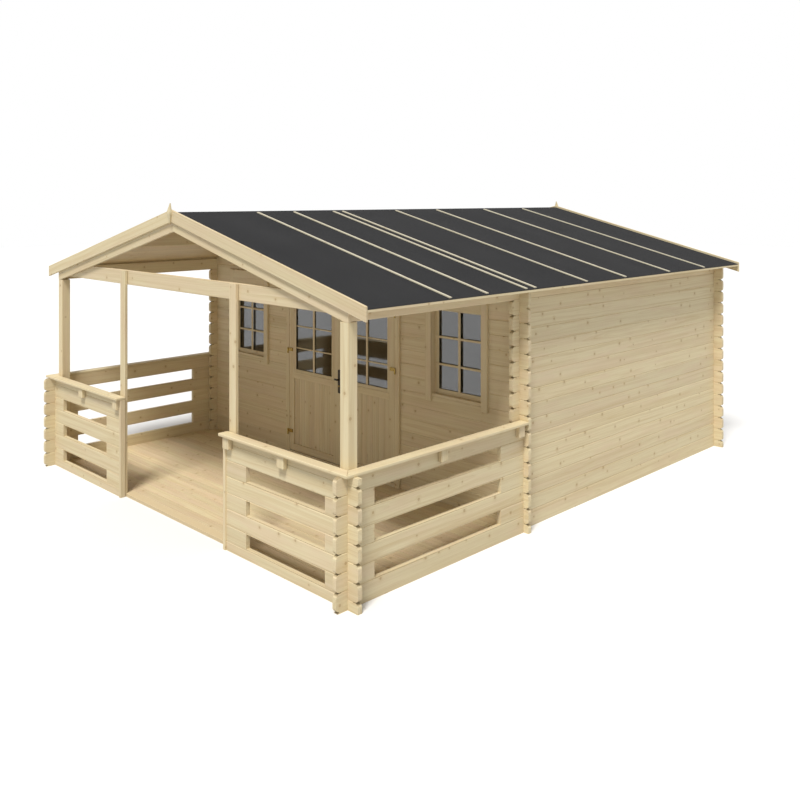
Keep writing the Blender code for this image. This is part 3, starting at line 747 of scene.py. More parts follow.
@dataclass
class Carpentry:
    """Members of one piece, each a board or bar with its own direction of grain."""

    mesh: bmesh.types.BMesh = field(default_factory=bmesh.new)
    count: int = 0
    seeded: bool = True

    def __post_init__(self) -> None:
        """Give the mesh the attributes that the wood finish reads."""
        self.mesh.verts.layers.float_vector.new("grain")
        if self.seeded:
            self.mesh.verts.layers.float.new("seed")

    def box(self, x: Span, y: Span, z: Span, grain: Axis, chamfer: float = EDGE,
            segments: int = 1) -> None:
        """Add a squared member.

        Args:
            x: Its extent along X.
            y: Its extent along Y.
            z: Its extent along Z.
            grain: The direction of its grain.
            chamfer: Width of its planed edges.
            segments: Steps of a rounded edge.
        """
        outline = [(x[0], y[0]), (x[1], y[0]), (x[1], y[1]), (x[0], y[1])]
        self.prism(outline, Axis.Z, z, grain.value, chamfer, segments)

    def framing(self, outer: Span, inner: Span, y: Span, z: Span, rails: Sequence[Span],
                chamfer: float) -> None:
        """Add two uprights, and rails between them.

        Args:
            outer: From one outer edge to the other along X.
            inner: From one inner edge to the other.
            y: Extent of all members along Y.
            z: Extent of the uprights along Z.
            rails: Extent of each rail along Z.
            chamfer: Width of the planed edges.
        """
        for x in ((outer[0], inner[0]), (inner[1], outer[1])):
            self.box(x, y, z, Axis.Z, chamfer)
        for rail in rails:
            self.box(widened(inner, -HAIR), y, rail, Axis.X, chamfer)

    def prism(self, outline: Sequence[Span], axis: Axis, span: Span, grain: Vector,
              chamfer: float = EDGE, segments: int = 1) -> None:
        """Add a member with any outline.

        Args:
            outline: Its outline, in the two other directions in their order.
            axis: The direction that it is extruded along.
            span: From where to where.
            grain: The direction of its grain.
            chamfer: Width of its planed edges.
            segments: Steps of a rounded edge.
        """
        ends = [[self.mesh.verts.new((*point[:axis.place], along, *point[axis.place:]))
                 for point in outline] for along in span]
        faces = [self.mesh.faces.new(end) for end in ends]
        for index in range(len(outline)):
            after = (index + 1) % len(outline)
            faces.append(self.mesh.faces.new((ends[0][index], ends[0][after],
                                              ends[1][after], ends[1][index])))
        bmesh.ops.recalc_face_normals(self.mesh, faces=faces)
        verts = [vert for end in ends for vert in end]
        self._mark(self._planed(verts, chamfer, segments) if chamfer else verts, grain)

    def _planed(self, verts: list[bmesh.types.BMVert], chamfer: float,
                segments: int) -> list[bmesh.types.BMVert]:
        """Plane a member's edges.

        Args:
            verts: The member's corners.
            chamfer: Width of its planed edges.
            segments: Steps of a rounded edge.

        Returns:
            Its new corners.
        """
        edges = list({edge for vert in verts for edge in vert.link_edges})
        result = bmesh.ops.bevel(self.mesh, geom=edges, offset=chamfer, segments=segments,
                                 profile=0.5, affect="EDGES", clamp_overlap=True)
        return list({vert for face in result["faces"] for vert in face.verts})

    def _mark(self, verts: list[bmesh.types.BMVert], grain: Vector) -> None:
        """Write a member's wood coordinates, whose thickness is its thinner side.

        Args:
            verts: The member's corners.
            grain: The direction of its grain.
        """
        low, high = (Vector([limit(vert.co[axis.place] for vert in verts) for axis in Axis])
                     for limit in (min, max))
        others = sorted((axis.value for axis in Axis), key=lambda way: abs(way.dot(grain)))[:2]
        thin = min(others, key=(high - low).dot)
        through = (thin - grain * thin.dot(grain)).normalized()
        across = grain.cross(through)
        grains = self.mesh.verts.layers.float_vector["grain"]
        self.count += 1
        for vert in verts:
            off = vert.co - (low + high) / 2
            vert[grains] = (vert.co.dot(grain), off.dot(through), off.dot(across))
            if self.seeded:
                vert[self.mesh.verts.layers.float["seed"]] = (self.count * GOLDEN) % 1.0

    def piece(self, name: str, finish: Finish = Finish.WALL, body: Body = Body.CABIN,
              replaces: str | None = None) -> None:
        """Put the members in the scene as one piece, as add_piece does."""
        add_piece(name, plain(name, self.mesh), finish, body, replaces)


# ---------------------------------------------------------------- repeated parts

@dataclass(frozen=True)
class Row:
    """Copies one member along a straight row with Geometry Nodes."""

    count: int
    start: Point
    step: Point
    seed: int

    def lay(self, member: Carpentry, finish: Finish = Finish.WALL) -> bpy.types.Mesh:
        """Lay the row.

        Args:
            member: One member at the start of the row.
            finish: Its finish.

        Returns:
            The mesh of the whole row.
        """
        values = {"Count": self.count, "Start": self.start, "Step": self.step,
                  "Seed": self.seed, "Finish": finish.material()}
        return run_geometry(plain("member", member.mesh), row_tree(), values)


def row_tree() -> bpy.types.NodeTree:
    """The tree that copies the input along a row.

    Returns:
        The Geometry Nodes tree.
    """
    graph, source = new_geometry(
        "row", {"Count": "Int", "Start": "Vector", "Step": "Vector", "Seed": "Int",
                "Finish": "Material"})
    line = graph.node("GeometryNodeMeshLine", {"mode": "OFFSET"},
                      {"Count": source.out("Count"), "Start Location": source.out("Start"),
                       "Offset": source.out("Step")})
    copies = graph.node("GeometryNodeInstanceOnPoints", None,
                        {"Points": line, "Instance": source})
    return finish_geometry(graph, copies, source)


def heads_tree() -> bpy.types.NodeTree:
    """The tree that sets a round nail or screw head on each point, along its facing.

    Returns:
        The Geometry Nodes tree.
    """
    graph, source = new_geometry(
        "heads", {"Radius": "Float", "Height": "Float", "Sides": "Int", "Seed": "Int",
                  "Finish": "Material"})
    radius = source.out("Radius")
    head = graph.node("GeometryNodeMeshCone", {"fill_type": "NGON"},
                      {"Vertices": source.out("Sides"), "Radius Top": radius * CROWN,
                       "Radius Bottom": radius, "Depth": source.out("Height")})
    facing = graph.node("GeometryNodeInputNamedAttribute", {"data_type": "FLOAT_VECTOR"},
                        {"Name": "facing"})
    turn = graph.node("FunctionNodeAlignRotationToVector", {"axis": "Z"}, {"Vector": facing})
    copies = graph.node("GeometryNodeInstanceOnPoints", None,
                        {"Points": source, "Instance": head, "Rotation": turn})
    return finish_geometry(graph, copies, source)


def new_geometry(name: str, inputs: dict[str, str]) -> tuple[Graph, Value]:
    """Start a Geometry Nodes tree with a geometry input and named inputs.

    Args:
        name: Name of the tree.
        inputs: Names and kinds of the other inputs.

    Returns:
        The tree's graph and its input geometry.
    """
    graph = Graph(bpy.data.node_groups.new(name, "GeometryNodeTree"))
    sockets = [("Geometry", "INPUT", "Geometry"), ("Geometry", "OUTPUT", "Geometry")]
    sockets[1:1] = [(label, "INPUT", kind) for label, kind in inputs.items()]
    for label, way, kind in sockets:
        graph.tree.interface.new_socket(label, in_out=way, socket_type=f"NodeSocket{kind}")
    return graph, graph.node("NodeGroupInput", output="Geometry")


def finish_geometry(graph: Graph, copies: Value, source: Value) -> bpy.types.NodeTree:
    """Number the copies at random, make them real and give them their finish.

    Args:
        graph: The tree's graph.
        copies: The instances.
        source: The input geometry, whose node holds the seed and the finish.

    Returns:
        The finished tree.
    """
    chance = graph.node("FunctionNodeRandomValue", {"data_type": "FLOAT"},
                        {"Seed": source.out("Seed")}, 1)
    numbered = graph.node("GeometryNodeStoreNamedAttribute",
                          {"data_type": "FLOAT", "domain": "INSTANCE"},
                          {"Geometry": copies, "Name": "seed", "Value": chance})
    real = graph.node("GeometryNodeRealizeInstances", None, {0: numbered})
    dressed = graph.node("GeometryNodeSetMaterial", None,
                         {"Geometry": real, "Material": source.out("Finish")})
    graph.node("NodeGroupOutput", None, {0: dressed})
    return graph.tree


def run_geometry(mesh: bpy.types.Mesh, tree: bpy.types.NodeTree,
                 values: dict[str, Any]) -> bpy.types.Mesh:
    """Run a Geometry Nodes tree on a mesh.

    Args:
        mesh: The mesh.
        tree: The tree, which is removed.
        values: Its named inputs.

    Returns:
        The resulting mesh.
    """
    source = linked("source", mesh)
    modifier = source.modifiers.new("nodes", "NODES")
    modifier.node_group = tree
    for item in tree.interface.items_tree:
        if item.in_out == "INPUT" and item.name in values:
            modifier[item.identifier] = values[item.name]
    made = baked(source)
    bpy.data.node_groups.remove(tree)
    return made


@dataclass
class Heads:
    """Nail or screw heads of one piece."""

    name: str
    radius: float
    height: float
    sides: int
    places: list[Point] = field(default_factory=list)
    facings: list[Point] = field(default_factory=list)

    def add(self, place: Point, facing: Point) -> None:
        """Add a head that faces one way."""
        self.places.append(place)
        self.facings.append(facing)

    def build(self, finish: Finish, body: Body = Body.CABIN) -> None:
        """Set the heads.

        Args:
            finish: Their finish.
            body: What they ride on.
        """
        points = bpy.data.meshes.new("points")
        points.from_pydata(self.places, [], [])
        facing = points.attributes.new("facing", "FLOAT_VECTOR", "POINT")
        facing.data.foreach_set("vector", [value for way in self.facings for value in way])
        values = {"Radius": self.radius, "Height": self.height, "Sides": self.sides,
                  "Seed": 5, "Finish": finish.material()}
        add_piece(self.name, run_geometry(points, heads_tree(), values), finish, body)


# ---------------------------------------------------------------- helpers of place

def middle(span: Span) -> float:
    """Middle of a span."""
    return (span[0] + span[1]) / 2


def extent(span: Span) -> float:
    """Length of a span."""
    return span[1] - span[0]


def widened(span: Span, by: float) -> Span:
    """A span that reaches further both ways."""
    return (span[0] - by, span[1] + by)


def ordered(*ends: float) -> Span:
    """A span from the lower of two ends to the higher."""
    return tuple(sorted(ends))


def mirrored(side: int, span: Span) -> Span:
    """A span of distances from the middle, on one side of it."""
    return ordered(side * span[0], side * span[1])


def about(centre: float, half: float) -> Span:
    """A span that reaches as far both ways."""
    return (centre - half, centre + half)


def node_spans(name: str) -> tuple[Span, Span, Span]:
    """Extents of a frame node along X, Y and Z."""
    low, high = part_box(name)
    return tuple((low[axis], high[axis]) for axis in range(3))


def distances(span: Span) -> Span:
    """Nearest and furthest distance of a span's ends from the middle of the cabin."""
    return ordered(abs(span[0]), abs(span[1]))


def side_word(side: int) -> str:
    """Name of a side, left of the middle or right of it."""
    return "left" if side < 0 else "right"


def spread(span: Span, count: int) -> list[float]:
    """Evenly spaced values from one end of a span to the other."""
    return [span[0] + extent(span) * step / (count - 1) for step in range(count)]


def arc(centre: Span, radii: Span, angles: Iterable[float]) -> list[Span]:
    """Points on a circle or an ellipse.

    Args:
        centre: Its middle.
        radii: Its two radii.
        angles: Where the points lie, in degrees.

    Returns:
        The points.
    """
    turns = [math.radians(angle) for angle in angles]
    return [(centre[0] + radii[0] * math.cos(turn), centre[1] + radii[1] * math.sin(turn))
            for turn in turns]


@dataclass
class Sided:
    """Something that the cabin has once on its left and once on its right."""

    side: int
    made: Carpentry = field(default_factory=Carpentry, init=False)

    @property
    def word(self) -> str:
        """The side's name."""
        return side_word(self.side)

    def spans(self, node: str) -> tuple[Span, Span, Span]:
        """Extents of this side's own frame node."""
        return node_spans(f"{self.word}_{node}")

    def mirrored(self, span: Span) -> Span:
        """A span of distances from the middle, on this side of it."""
        return mirrored(self.side, span)


# ---------------------------------------------------------------- frame nodes that keep their shape

class Shell:
    """Frame nodes that keep their shape and get a finish that follows their grain."""

    def build(self) -> None:
        """Dress every node that keeps its shape."""
        for side in SIDES:
            word = side_word(side)
            for name in (f"{word}_wall", f"{word}_eave_beam", f"{word}_side_railing"):
                self._logs(name, Axis.Y, COURSE, SIDE_PHASE)
            for name in (f"front_wall_{word}", f"{word}_front_railing"):
                self._logs(name, Axis.X, COURSE, FRONT_PHASE)
            self._logs(f"{word}_purlin", Axis.Y, *WHOLE)
            for name in (f"{word}_corner_post", f"{word}_entrance_post", f"{word}_railing_end"):
                self._upright(name)
            for name in (f"{word}_rafter", f"{word}_front_bargeboard", f"{word}_rear_bargeboard"):
                self._wood(name, Axis.X, Axis.Z, Axis.Y, tilt=-side * PITCH)
            self._dress(f"{word}_roof_felt", Finish.FELT.material())
            for number in HINGES:
                self._dress(f"{word}_door_hinge_{number}", Finish.BRASS.material())
        for name in ("front_gable", "rear_wall"):
            self._logs(name, Axis.X, COURSE, FRONT_PHASE)
        self._logs("ridge_purlin", Axis.Y, *WHOLE)
        self._logs("tie_beam", Axis.X, *WHOLE)
        self._upright("front_finial")
        self._upright("rear_finial")

    def _logs(self, name: str, along: Axis, width: float, start: float) -> None:
        """Dress a node built of logs or one lying beam.

        Args:
            name: The node.
            along: The direction of its logs.
            width: Height of one log.
            start: Lower edge of one of them.
        """
        # Free ends get painted shade in their cut joints.
        ends = tuple(end for end in node_spans(name)[along.place] if self._free(name, end))
        self._wood(name, along, Axis.Z, Axis.X if along is Axis.Y else Axis.Y,
                   width=width, start=start, ends=ends)

    def _upright(self, name: str) -> None:
        """Dress a post or another upright board.

        Args:
            name: The node.
        """
        spans = node_spans(name)
        thin, wide = sorted((Axis.X, Axis.Y), key=lambda axis: extent(spans[axis.place]))
        self._wood(name, Axis.Z, wide, thin, start=spans[wide.place][0] + WHOLE[1])

    def _wood(self, name: str, along: Axis, across: Axis, through: Axis, **layout: Any) -> None:
        """Dress a wooden node.

        Args:
            name: The node.
            along: The direction of its grain.
            across: The direction across its boards.
            through: The direction through their thickness.
            layout: How its boards lie, as fields of the grain.
        """
        grain = Grain(along, across, through, middle(node_spans(name)[through.place]),
                      self._seed(name), **layout)
        self._dress(name, Spruce().material(f"spruce_{name}", grain))

    @staticmethod
    def _dress(name: str, finish: bpy.types.Material) -> None:
        """Give a frame node its finish.

        Args:
            name: The node.
            finish: Its material.
        """
        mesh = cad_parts[name].data
        mesh.materials.clear()
        mesh.materials.append(finish)

    @staticmethod
    def _free(name: str, end: float) -> bool:
        """Whether the logs of a node run on past the crossing at one of their ends.

        Args:
            name: The node.
            end: Where the logs end.

        Returns:
            Whether they do.
        """
        if name.endswith(("purlin", "tie_beam", "front_gable")):
            return False
        if name.endswith("side_railing"):
            return end < middle(node_spans(name)[1])
        if name.startswith("front_wall") or name.endswith("front_railing"):
            return abs(end) > distances(node_spans("left_wall")[0])[1]
        return True

    @staticmethod
    def _seed(name: str) -> float:
        """A number of its own for each node, the same each time."""
        return float(sum(place * ord(letter) for place, letter in enumerate(name, start=1)) % 997)


# ---------------------------------------------------------------- floors

@dataclass
class Floors:
    """Floor boards on bearers, in the porch and in the cabin."""

    pitch: float = 0.0895
    joint: float = 0.0025  # open line between two boards
    board: float = 0.020
    bearer: float = 0.045
    room: float = 0.010  # beside the log ends that stand in the porch floor

    def build(self) -> None:
        """Lay both floors."""
        x, y, z = node_spans("porch_floor")
        floor = self._floor("porch_floor", x, y, (z[0], PORCH_FLOOR), bearers=6)
        add_piece("porch_floor_boards", without(floor, self._notches()), Finish.FLOOR,
                  replaces="porch_floor")
        floor = self._floor("cabin_floor", *node_spans("cabin_floor"), bearers=8)
        add_piece("cabin_floor_boards", floor, Finish.FLOOR, replaces="cabin_floor")

    def _floor(self, name: str, x: Span, y: Span, z: Span, bearers: int) -> bpy.types.Mesh:
        """Lay one floor.

        Args:
            name: Name of its mesh.
            x: Its extent along X.
            y: Its extent along Y.
            z: Its extent along Z.
            bearers: Number of bearers under it.

        Returns:
            The mesh of its boards and bearers.
        """
        count = round(extent(y) / self.pitch)
        pitch = extent(y) / count
        board = Carpentry(seeded=False)
        board.box(x, (0.0, pitch - self.joint), (z[1] - self.board, z[1]), Axis.X, TRIM_EDGE)
        row = Row(count, (0.0, y[0] + self.joint / 2, 0.0), (0.0, pitch, 0.0), seed=bearers)
        boards = row.lay(board, Finish.FLOOR)
        under = Carpentry()
        deep = (z[0], z[1] - self.board - HAIR)
        behind = (y[0] + self.bearer + HAIR, y[1])
        for place in spread((x[0], x[1] - self.bearer), bearers):
            under.box((place, place + self.bearer), behind, deep, Axis.Y)
        under.box(x, (y[0], y[0] + self.bearer), deep, Axis.X)
        return joined(name, [boards, plain("bearers", under.mesh)])

    def _notches(self) -> bpy.types.Mesh:
        """The spaces round the posts and the log ends that stand in the porch floor.

        Returns:
            The mesh to cut out of the floor.
        """
        cuts = Carpentry()
        tall = (-self.board, 4 * self.board)
        for word in map(side_word, SIDES):
            for node in (f"{word}_corner_post", f"{word}_entrance_post"):
                x, y, _ = node_spans(node)
                cuts.box(widened(x, HAIR), widened(y, HAIR), tall, Axis.X, 0.0)
            x, y, _ = node_spans(f"{word}_wall")
            front = node_spans(f"front_wall_{word}")[1][0]
            cuts.box(widened(x, self.room), (y[0] - HAIR, front + self.pitch), tall, Axis.X, 0.0)
        return plain("notches", cuts.mesh)


# ---------------------------------------------------------------- roof

@dataclass
class Roof:
    """Roof boards under the felt, and the battens and nails that hold it down."""

    pitch: float = 0.096
    thick: float = 0.0187
    joint: float = 0.004
    ridge: float = 0.0003  # from the middle to the first board
    closing: float = 0.016  # how far the strip over the eave beam is set back
    batten: Span = (0.022, 0.009)  # width and height
    run: Span = (0.060, 2.297)  # from the ridge to the ends of a batten
    zero: float = 0.0353  # ahead of the felt, where the battens' places begin
    battens: tuple[float, ...] = (0.8273, 1.2245, 1.6884, 1.8033, 2.5103, 3.1154, 3.8903, 4.5951)
    nailed: Span = (0.14, 2.22)  # from the ridge to the first and the last nail
    nails: int = 6

    def build(self) -> None:
        """Make the roof boards and the battens of both slopes."""
        for side in SIDES:
            self._deck(side)
            self._battens(side)
        self._nails()

    def _deck(self, side: int) -> None:
        """Lay the boards of one slope, which run from front to back.

        Args:
            side: -1 for the left slope, 1 for the right.
        """
        word = side_word(side)
        x, y, z = node_spans(f"{word}_roof_deck")
        half, top = distances(x)[1], z[1]
        count = round(half / self.pitch)
        pitch = (half - 2 * self.ridge) / count
        wide, low = pitch - HAIR, top - self.thick
        outline = [(0.0, low), (side * wide, low - SLOPE * wide),
                   (side * wide, top - SLOPE * wide), (0.0, top)]
        board = Carpentry(seeded=False)
        board.prism(outline, Axis.Y, y, Axis.Y.value, self.joint / 2)
        # All boards but the outermost take the darker deck copy, painted shade for the underside;
        # the outermost eave board, seen lit from outside, keeps the wall finish.
        row = Row(count - 1, (side * self.ridge, 0.0, -SLOPE * self.ridge),
                  (side * pitch, 0.0, -SLOPE * pitch), seed=3 + side)
        add_piece(f"{word}_roof_deck_boards", row.lay(board, Finish.DECK), Finish.DECK,
                  replaces=f"{word}_roof_deck")
        out = self.ridge + (count - 1) * pitch
        edge = Carpentry()
        edge.prism([(place + side * out, height - SLOPE * out) for place, height in outline],
                   Axis.Y, y, Axis.Y.value, self.joint / 2)
        edge.piece(f"{word}_eave_board")
        self._closing(side, low)

    def _closing(self, side: int, under: float) -> None:
        """Close the gap between the eave beam and the boards with a strip set back from its face.

        Args:
            side: -1 for the left slope, 1 for the right.
            under: Height of the underside of the boards at the ridge.
        """
        x, y, z = node_spans(f"{side_word(side)}_eave_beam")
        near, far = distances(x)
        near += self.closing
        outline = [(side * near, z[1] + HAIR), (side * far, z[1] + HAIR),
                   (side * far, under - SLOPE * far - HAIR),
                   (side * near, under - SLOPE * near - HAIR)]
        strip = Carpentry()
        strip.prism(outline, Axis.Y, (y[0], node_spans("front_gable")[1][0] - HAIR), Axis.Y.value)
        strip.piece(f"{side_word(side)}_eave_closing_strip")

    def _places(self) -> list[float]:
        """Where the middles of the battens lie along Y."""
        start = node_spans("left_roof_felt")[1][0] - self.zero
        return [start + place for place in self.battens]

    def _on_slope(self, side: int, out: float, rise: float) -> Span:
        """X and Z of a point on a slope, from its distance out and its height above the felt."""
        top = node_spans("right_roof_felt")[2][1] - SLOPE * out
        return side * (out + rise * math.sin(PITCH)), top + rise * math.cos(PITCH)

    def _battens(self, side: int) -> None:
        """Lay the battens of one slope.

        Args:
            side: -1 for the left slope, 1 for the right.
        """
        width, height = self.batten
        upper, lower, low_top, high_top = (
            self._on_slope(side, self.run[end], HAIR + rise)
            for end, rise in ((0, 0.0), (1, 0.0), (1, height), (0, height)))
        way = Vector((lower[0] - upper[0], 0.0, lower[1] - upper[1])).normalized()
        battens = Carpentry()
        for place in self._places():
            battens.prism([upper, lower, low_top, high_top], Axis.Y, about(place, width / 2), way,
                          TRIM_EDGE)
        battens.piece(f"{side_word(side)}_battens", Finish.BATTEN)

    def _nails(self) -> None:
        """Nail the battens down."""
        heads = Heads("batten_nails", *NAIL)
        for side in SIDES:
            facing = (side * math.sin(PITCH), 0.0, math.cos(PITCH))
            for place in self._places():
                for out in spread(self.nailed, self.nails):
                    x, z = self._on_slope(side, out, 2 * HAIR + self.batten[1])
                    heads.add((x, place, z), facing)
        heads.build(Finish.ZINC)


# ---------------------------------------------------------------- porch

@dataclass
class Handrail(Sided):
    """A mitred cap on the railings, with brackets under its outer edge."""

    thick: float = 0.022
    wide: float = 0.088
    overhang: float = 0.055  # ahead of the front railing
    drop: float = 0.090  # height and depth of a bracket
    depth: float = 0.039
    front_brackets: tuple[Span, ...] = ((0.816, 0.892), (1.470, 1.546))
    side_brackets: tuple[Span, ...] = ((0.841, 0.912), (1.727, 1.798))
    cap_edge: float = 0.0055
    bracket_edge: float = 0.007

    def build(self) -> None:
        """Make the handrail."""
        x, y, z = self.spans("handrail")
        top = z[1] - self.thick
        for outline, grain in zip(self._mitred(distances(x), y), (Axis.X, Axis.Y)):
            self.made.prism(outline, Axis.Z, (top, z[1]), grain.value, self.cap_edge, segments=3)
        for across, deep in self._brackets(y[0] + self.overhang):
            self.made.box(across, deep, (top - self.drop, top - HAIR), Axis.Z, self.bracket_edge,
                          segments=2)
        self.made.piece(f"{self.word}_handrail_boards", replaces=f"{self.word}_handrail")

    def _mitred(self, reach: Span, y: Span) -> tuple[list[Span], list[Span]]:
        """Outlines of the two boards of the cap, which meet in a mitre.

        Args:
            reach: Nearest and furthest distance of the cap from the middle of the cabin.
            y: Its extent along Y.

        Returns:
            The front board and the side board.
        """
        inner, outer = reach
        corner, front, cut = outer - self.wide, y[0] + self.wide, HAIR / 2
        lying = [(inner, y[0]), (outer - cut, y[0]), (corner - cut, front), (inner, front)]
        standing = [(outer, y[0] + cut), (outer, y[1]), (corner, y[1]), (corner, front + cut)]
        return tuple([(self.side * out, place) for out, place in board]
                     for board in (lying, standing))

    def _brackets(self, zero: float) -> list[tuple[Span, Span]]:
        """Places of the brackets against the front railing and the side railing.

        Args:
            zero: Face of the front railing.

        Returns:
            Their extents along X and Y.
        """
        face = distances(self.spans("side_railing")[0])[1]
        ahead = (zero - self.depth, zero - HAIR)
        beside = self.mirrored((face + HAIR, face + self.depth))
        return ([(self.mirrored(span), ahead) for span in self.front_brackets]
                + [(beside, (zero + span[0], zero + span[1])) for span in self.side_brackets])


# ---------------------------------------------------------------- windows

@dataclass
class Window(Sided):
    """Casing, lining, sash, pane and grille of one window."""

    centre: float = 1.470
    casing: float = 0.3445  # half width over the side boards
    opening: Span = (0.908, 1.712)
    reveal: Point = (0.2775, 0.933, 1.687)  # half width, bottom and top
    pane: Point = (0.2335, 0.974, 1.643)
    cut: Span = (1.180, 1.780)  # opening in the logs
    wall: float = 0.022  # behind the casing's face, the logs,
    bars: float = 0.053  # the bars,
    sash: float = 0.062  # the face of the sash
    back: float = 0.090  # and its back
    lip: float = 0.003  # thickness of the sash ahead of its rabbet
    glass: Span = (0.009, 0.013)  # behind the lip
    rabbet: float = 0.010
    bead: float = 0.010
    set_back: float = 0.002  # of the bead and of the rungs
    bar: float = 0.024
    rungs: Span = (1.1856, 1.4186)
    rung: float = 0.018

    def build(self) -> None:
        """Make the window."""
        _, y, z = self.spans("window_frame")
        wall, bars, lip, back = (
            y[0] + depth for depth in (self.wall, self.bars, self.sash, self.back))
        rabbet = lip + self.lip
        glass = (rabbet + self.glass[0], rabbet + self.glass[1])
        half, bottom, top = self.pane
        hole = (half + self.rabbet, bottom - self.rabbet, top + self.rabbet)
        bead = self.bead / 2
        self._casing((y[0], wall - HAIR), z)
        self._lining((wall, back))
        self._ring(self.reveal, self.pane, (lip, rabbet), FINE_EDGE)
        self._ring(self.reveal, hole, (rabbet + HAIR, back), FINE_EDGE)
        self._ring(hole, (half - bead, bottom + bead, top - bead),
                   (glass[1] + HAIR, back - self.set_back), ROUND_EDGE)
        self._grille((bars, rabbet), lip - HAIR)
        self.made.piece(f"{self.word}_window_frame_joinery", replaces=f"{self.word}_window_frame")
        sheet = Carpentry()
        sheet.box(self._across(hole[0] - HAIR), glass, widened(hole[1:], -HAIR), Axis.Z, 0.0)
        sheet.piece(f"{self.word}_window_pane", Finish.GLASS,
                    replaces=f"{self.word}_window_glass")

    def _across(self, half: float) -> Span:
        """Extent along X of something centred on the window."""
        return about(self.side * self.centre, half)

    def _casing(self, y: Span, z: Span) -> None:
        """Boards on the wall beside and above the opening."""
        self.made.framing(self._across(self.casing), self._across(self.reveal[0]), y, z,
                          [(self.reveal[2], z[1])], SOFT_EDGE)

    def _lining(self, y: Span) -> None:
        """Boards that line the opening in the logs.

        Args:
            y: Their extent through the wall.
        """
        half, bottom, top = self.reveal
        z = widened(self.opening, -HAIR)
        self.made.framing(widened(self.mirrored(self.cut), -HAIR), self._across(half), y, z,
                          [(z[0], bottom - HAIR), (top + HAIR, z[1])], FINE_EDGE)

    def _ring(self, outer: Point, inner: Point, y: Span, chamfer: float) -> None:
        """Four members round a rectangle, given by half width, bottom and top.

        Args:
            outer: Their outer edge.
            inner: Their inner edge.
            y: Their extent through the wall.
            chamfer: Width of their planed edges.
        """
        z = widened(outer[1:], -HAIR)
        self.made.framing(self._across(outer[0] - HAIR), self._across(inner[0]), y, z,
                          [(z[0], inner[1]), (inner[2], z[1])], chamfer)

    def _grille(self, y: Span, rest: float) -> None:
        """The bars in front of the pane, whose rungs run on over the sash.

        Args:
            y: Their extent through the wall.
            rest: Back of the ends that lie on the sash.
        """
        half, bottom, top = self.pane
        centre = self.side * self.centre
        front = y[0] + self.set_back
        self.made.box(self._across(self.bar / 2), y, widened((bottom, top), -HAIR), Axis.Z,
                      ROUND_EDGE)
        for height in self.rungs:
            tall = about(height, self.rung / 2)
            for way in SIDES:
                inner, edge, outer = (centre + way * out for out in (
                    self.bar / 2 + HAIR, half - HAIR, self.reveal[0] - HAIR))
                outline = [(inner, front), (outer, front), (outer, rest), (edge, rest),
                           (edge, y[1]), (inner, y[1])]
                self.made.prism(outline, Axis.Z, tall, Axis.X.value, SOFT_EDGE)


# ---------------------------------------------------------------- doors

@dataclass
class DoorFrame:
    """Casing, jambs, stops and sill of the double door."""

    opening: float = 0.7558  # half widths
    stop: float = 0.735
    jamb: float = 0.7894
    head: float = 1.666  # heights
    stop_head: float = 1.645
    jamb_head: float = 1.7474
    sill: float = 0.062
    casing: float = 0.0217  # thickness
    stop_depth: float = 0.021

    def build(self) -> None:
        """Make the frame."""
        x, y, z = node_spans("door_frame")
        low = PORCH_FLOOR + HAIR
        face = (y[0], y[0] + self.casing)
        behind, stop = (face[1] + HAIR, y[1]), (y[1] - self.stop_depth, y[1])
        made = Carpentry()
        for side in SIDES:
            casing, jamb, rest = (mirrored(side, span) for span in (
                (self.opening, x[1]), (self.opening, self.jamb), (self.stop, self.opening - HAIR)))
            made.box(casing, face, (low, z[1]), Axis.Z, SOFT_EDGE)
            made.box(jamb, behind, (low, self.jamb_head), Axis.Z)
            made.box(rest, stop, (self.sill, self.head), Axis.Z)
        across, between = about(0.0, self.opening - HAIR), about(0.0, self.stop - HAIR)
        made.box(across, face, (self.head, z[1]), Axis.X, SOFT_EDGE)
        made.box(across, behind, (self.head, self.jamb_head), Axis.X)
        made.box(between, stop, (self.stop_head, self.head - HAIR), Axis.X)
        made.box(across, y, (low, self.sill), Axis.X, SOFT_EDGE)
        made.box(across, behind, (0.0, low - HAIR), Axis.X)
        made.piece("door_frame_joinery", replaces="door_frame")


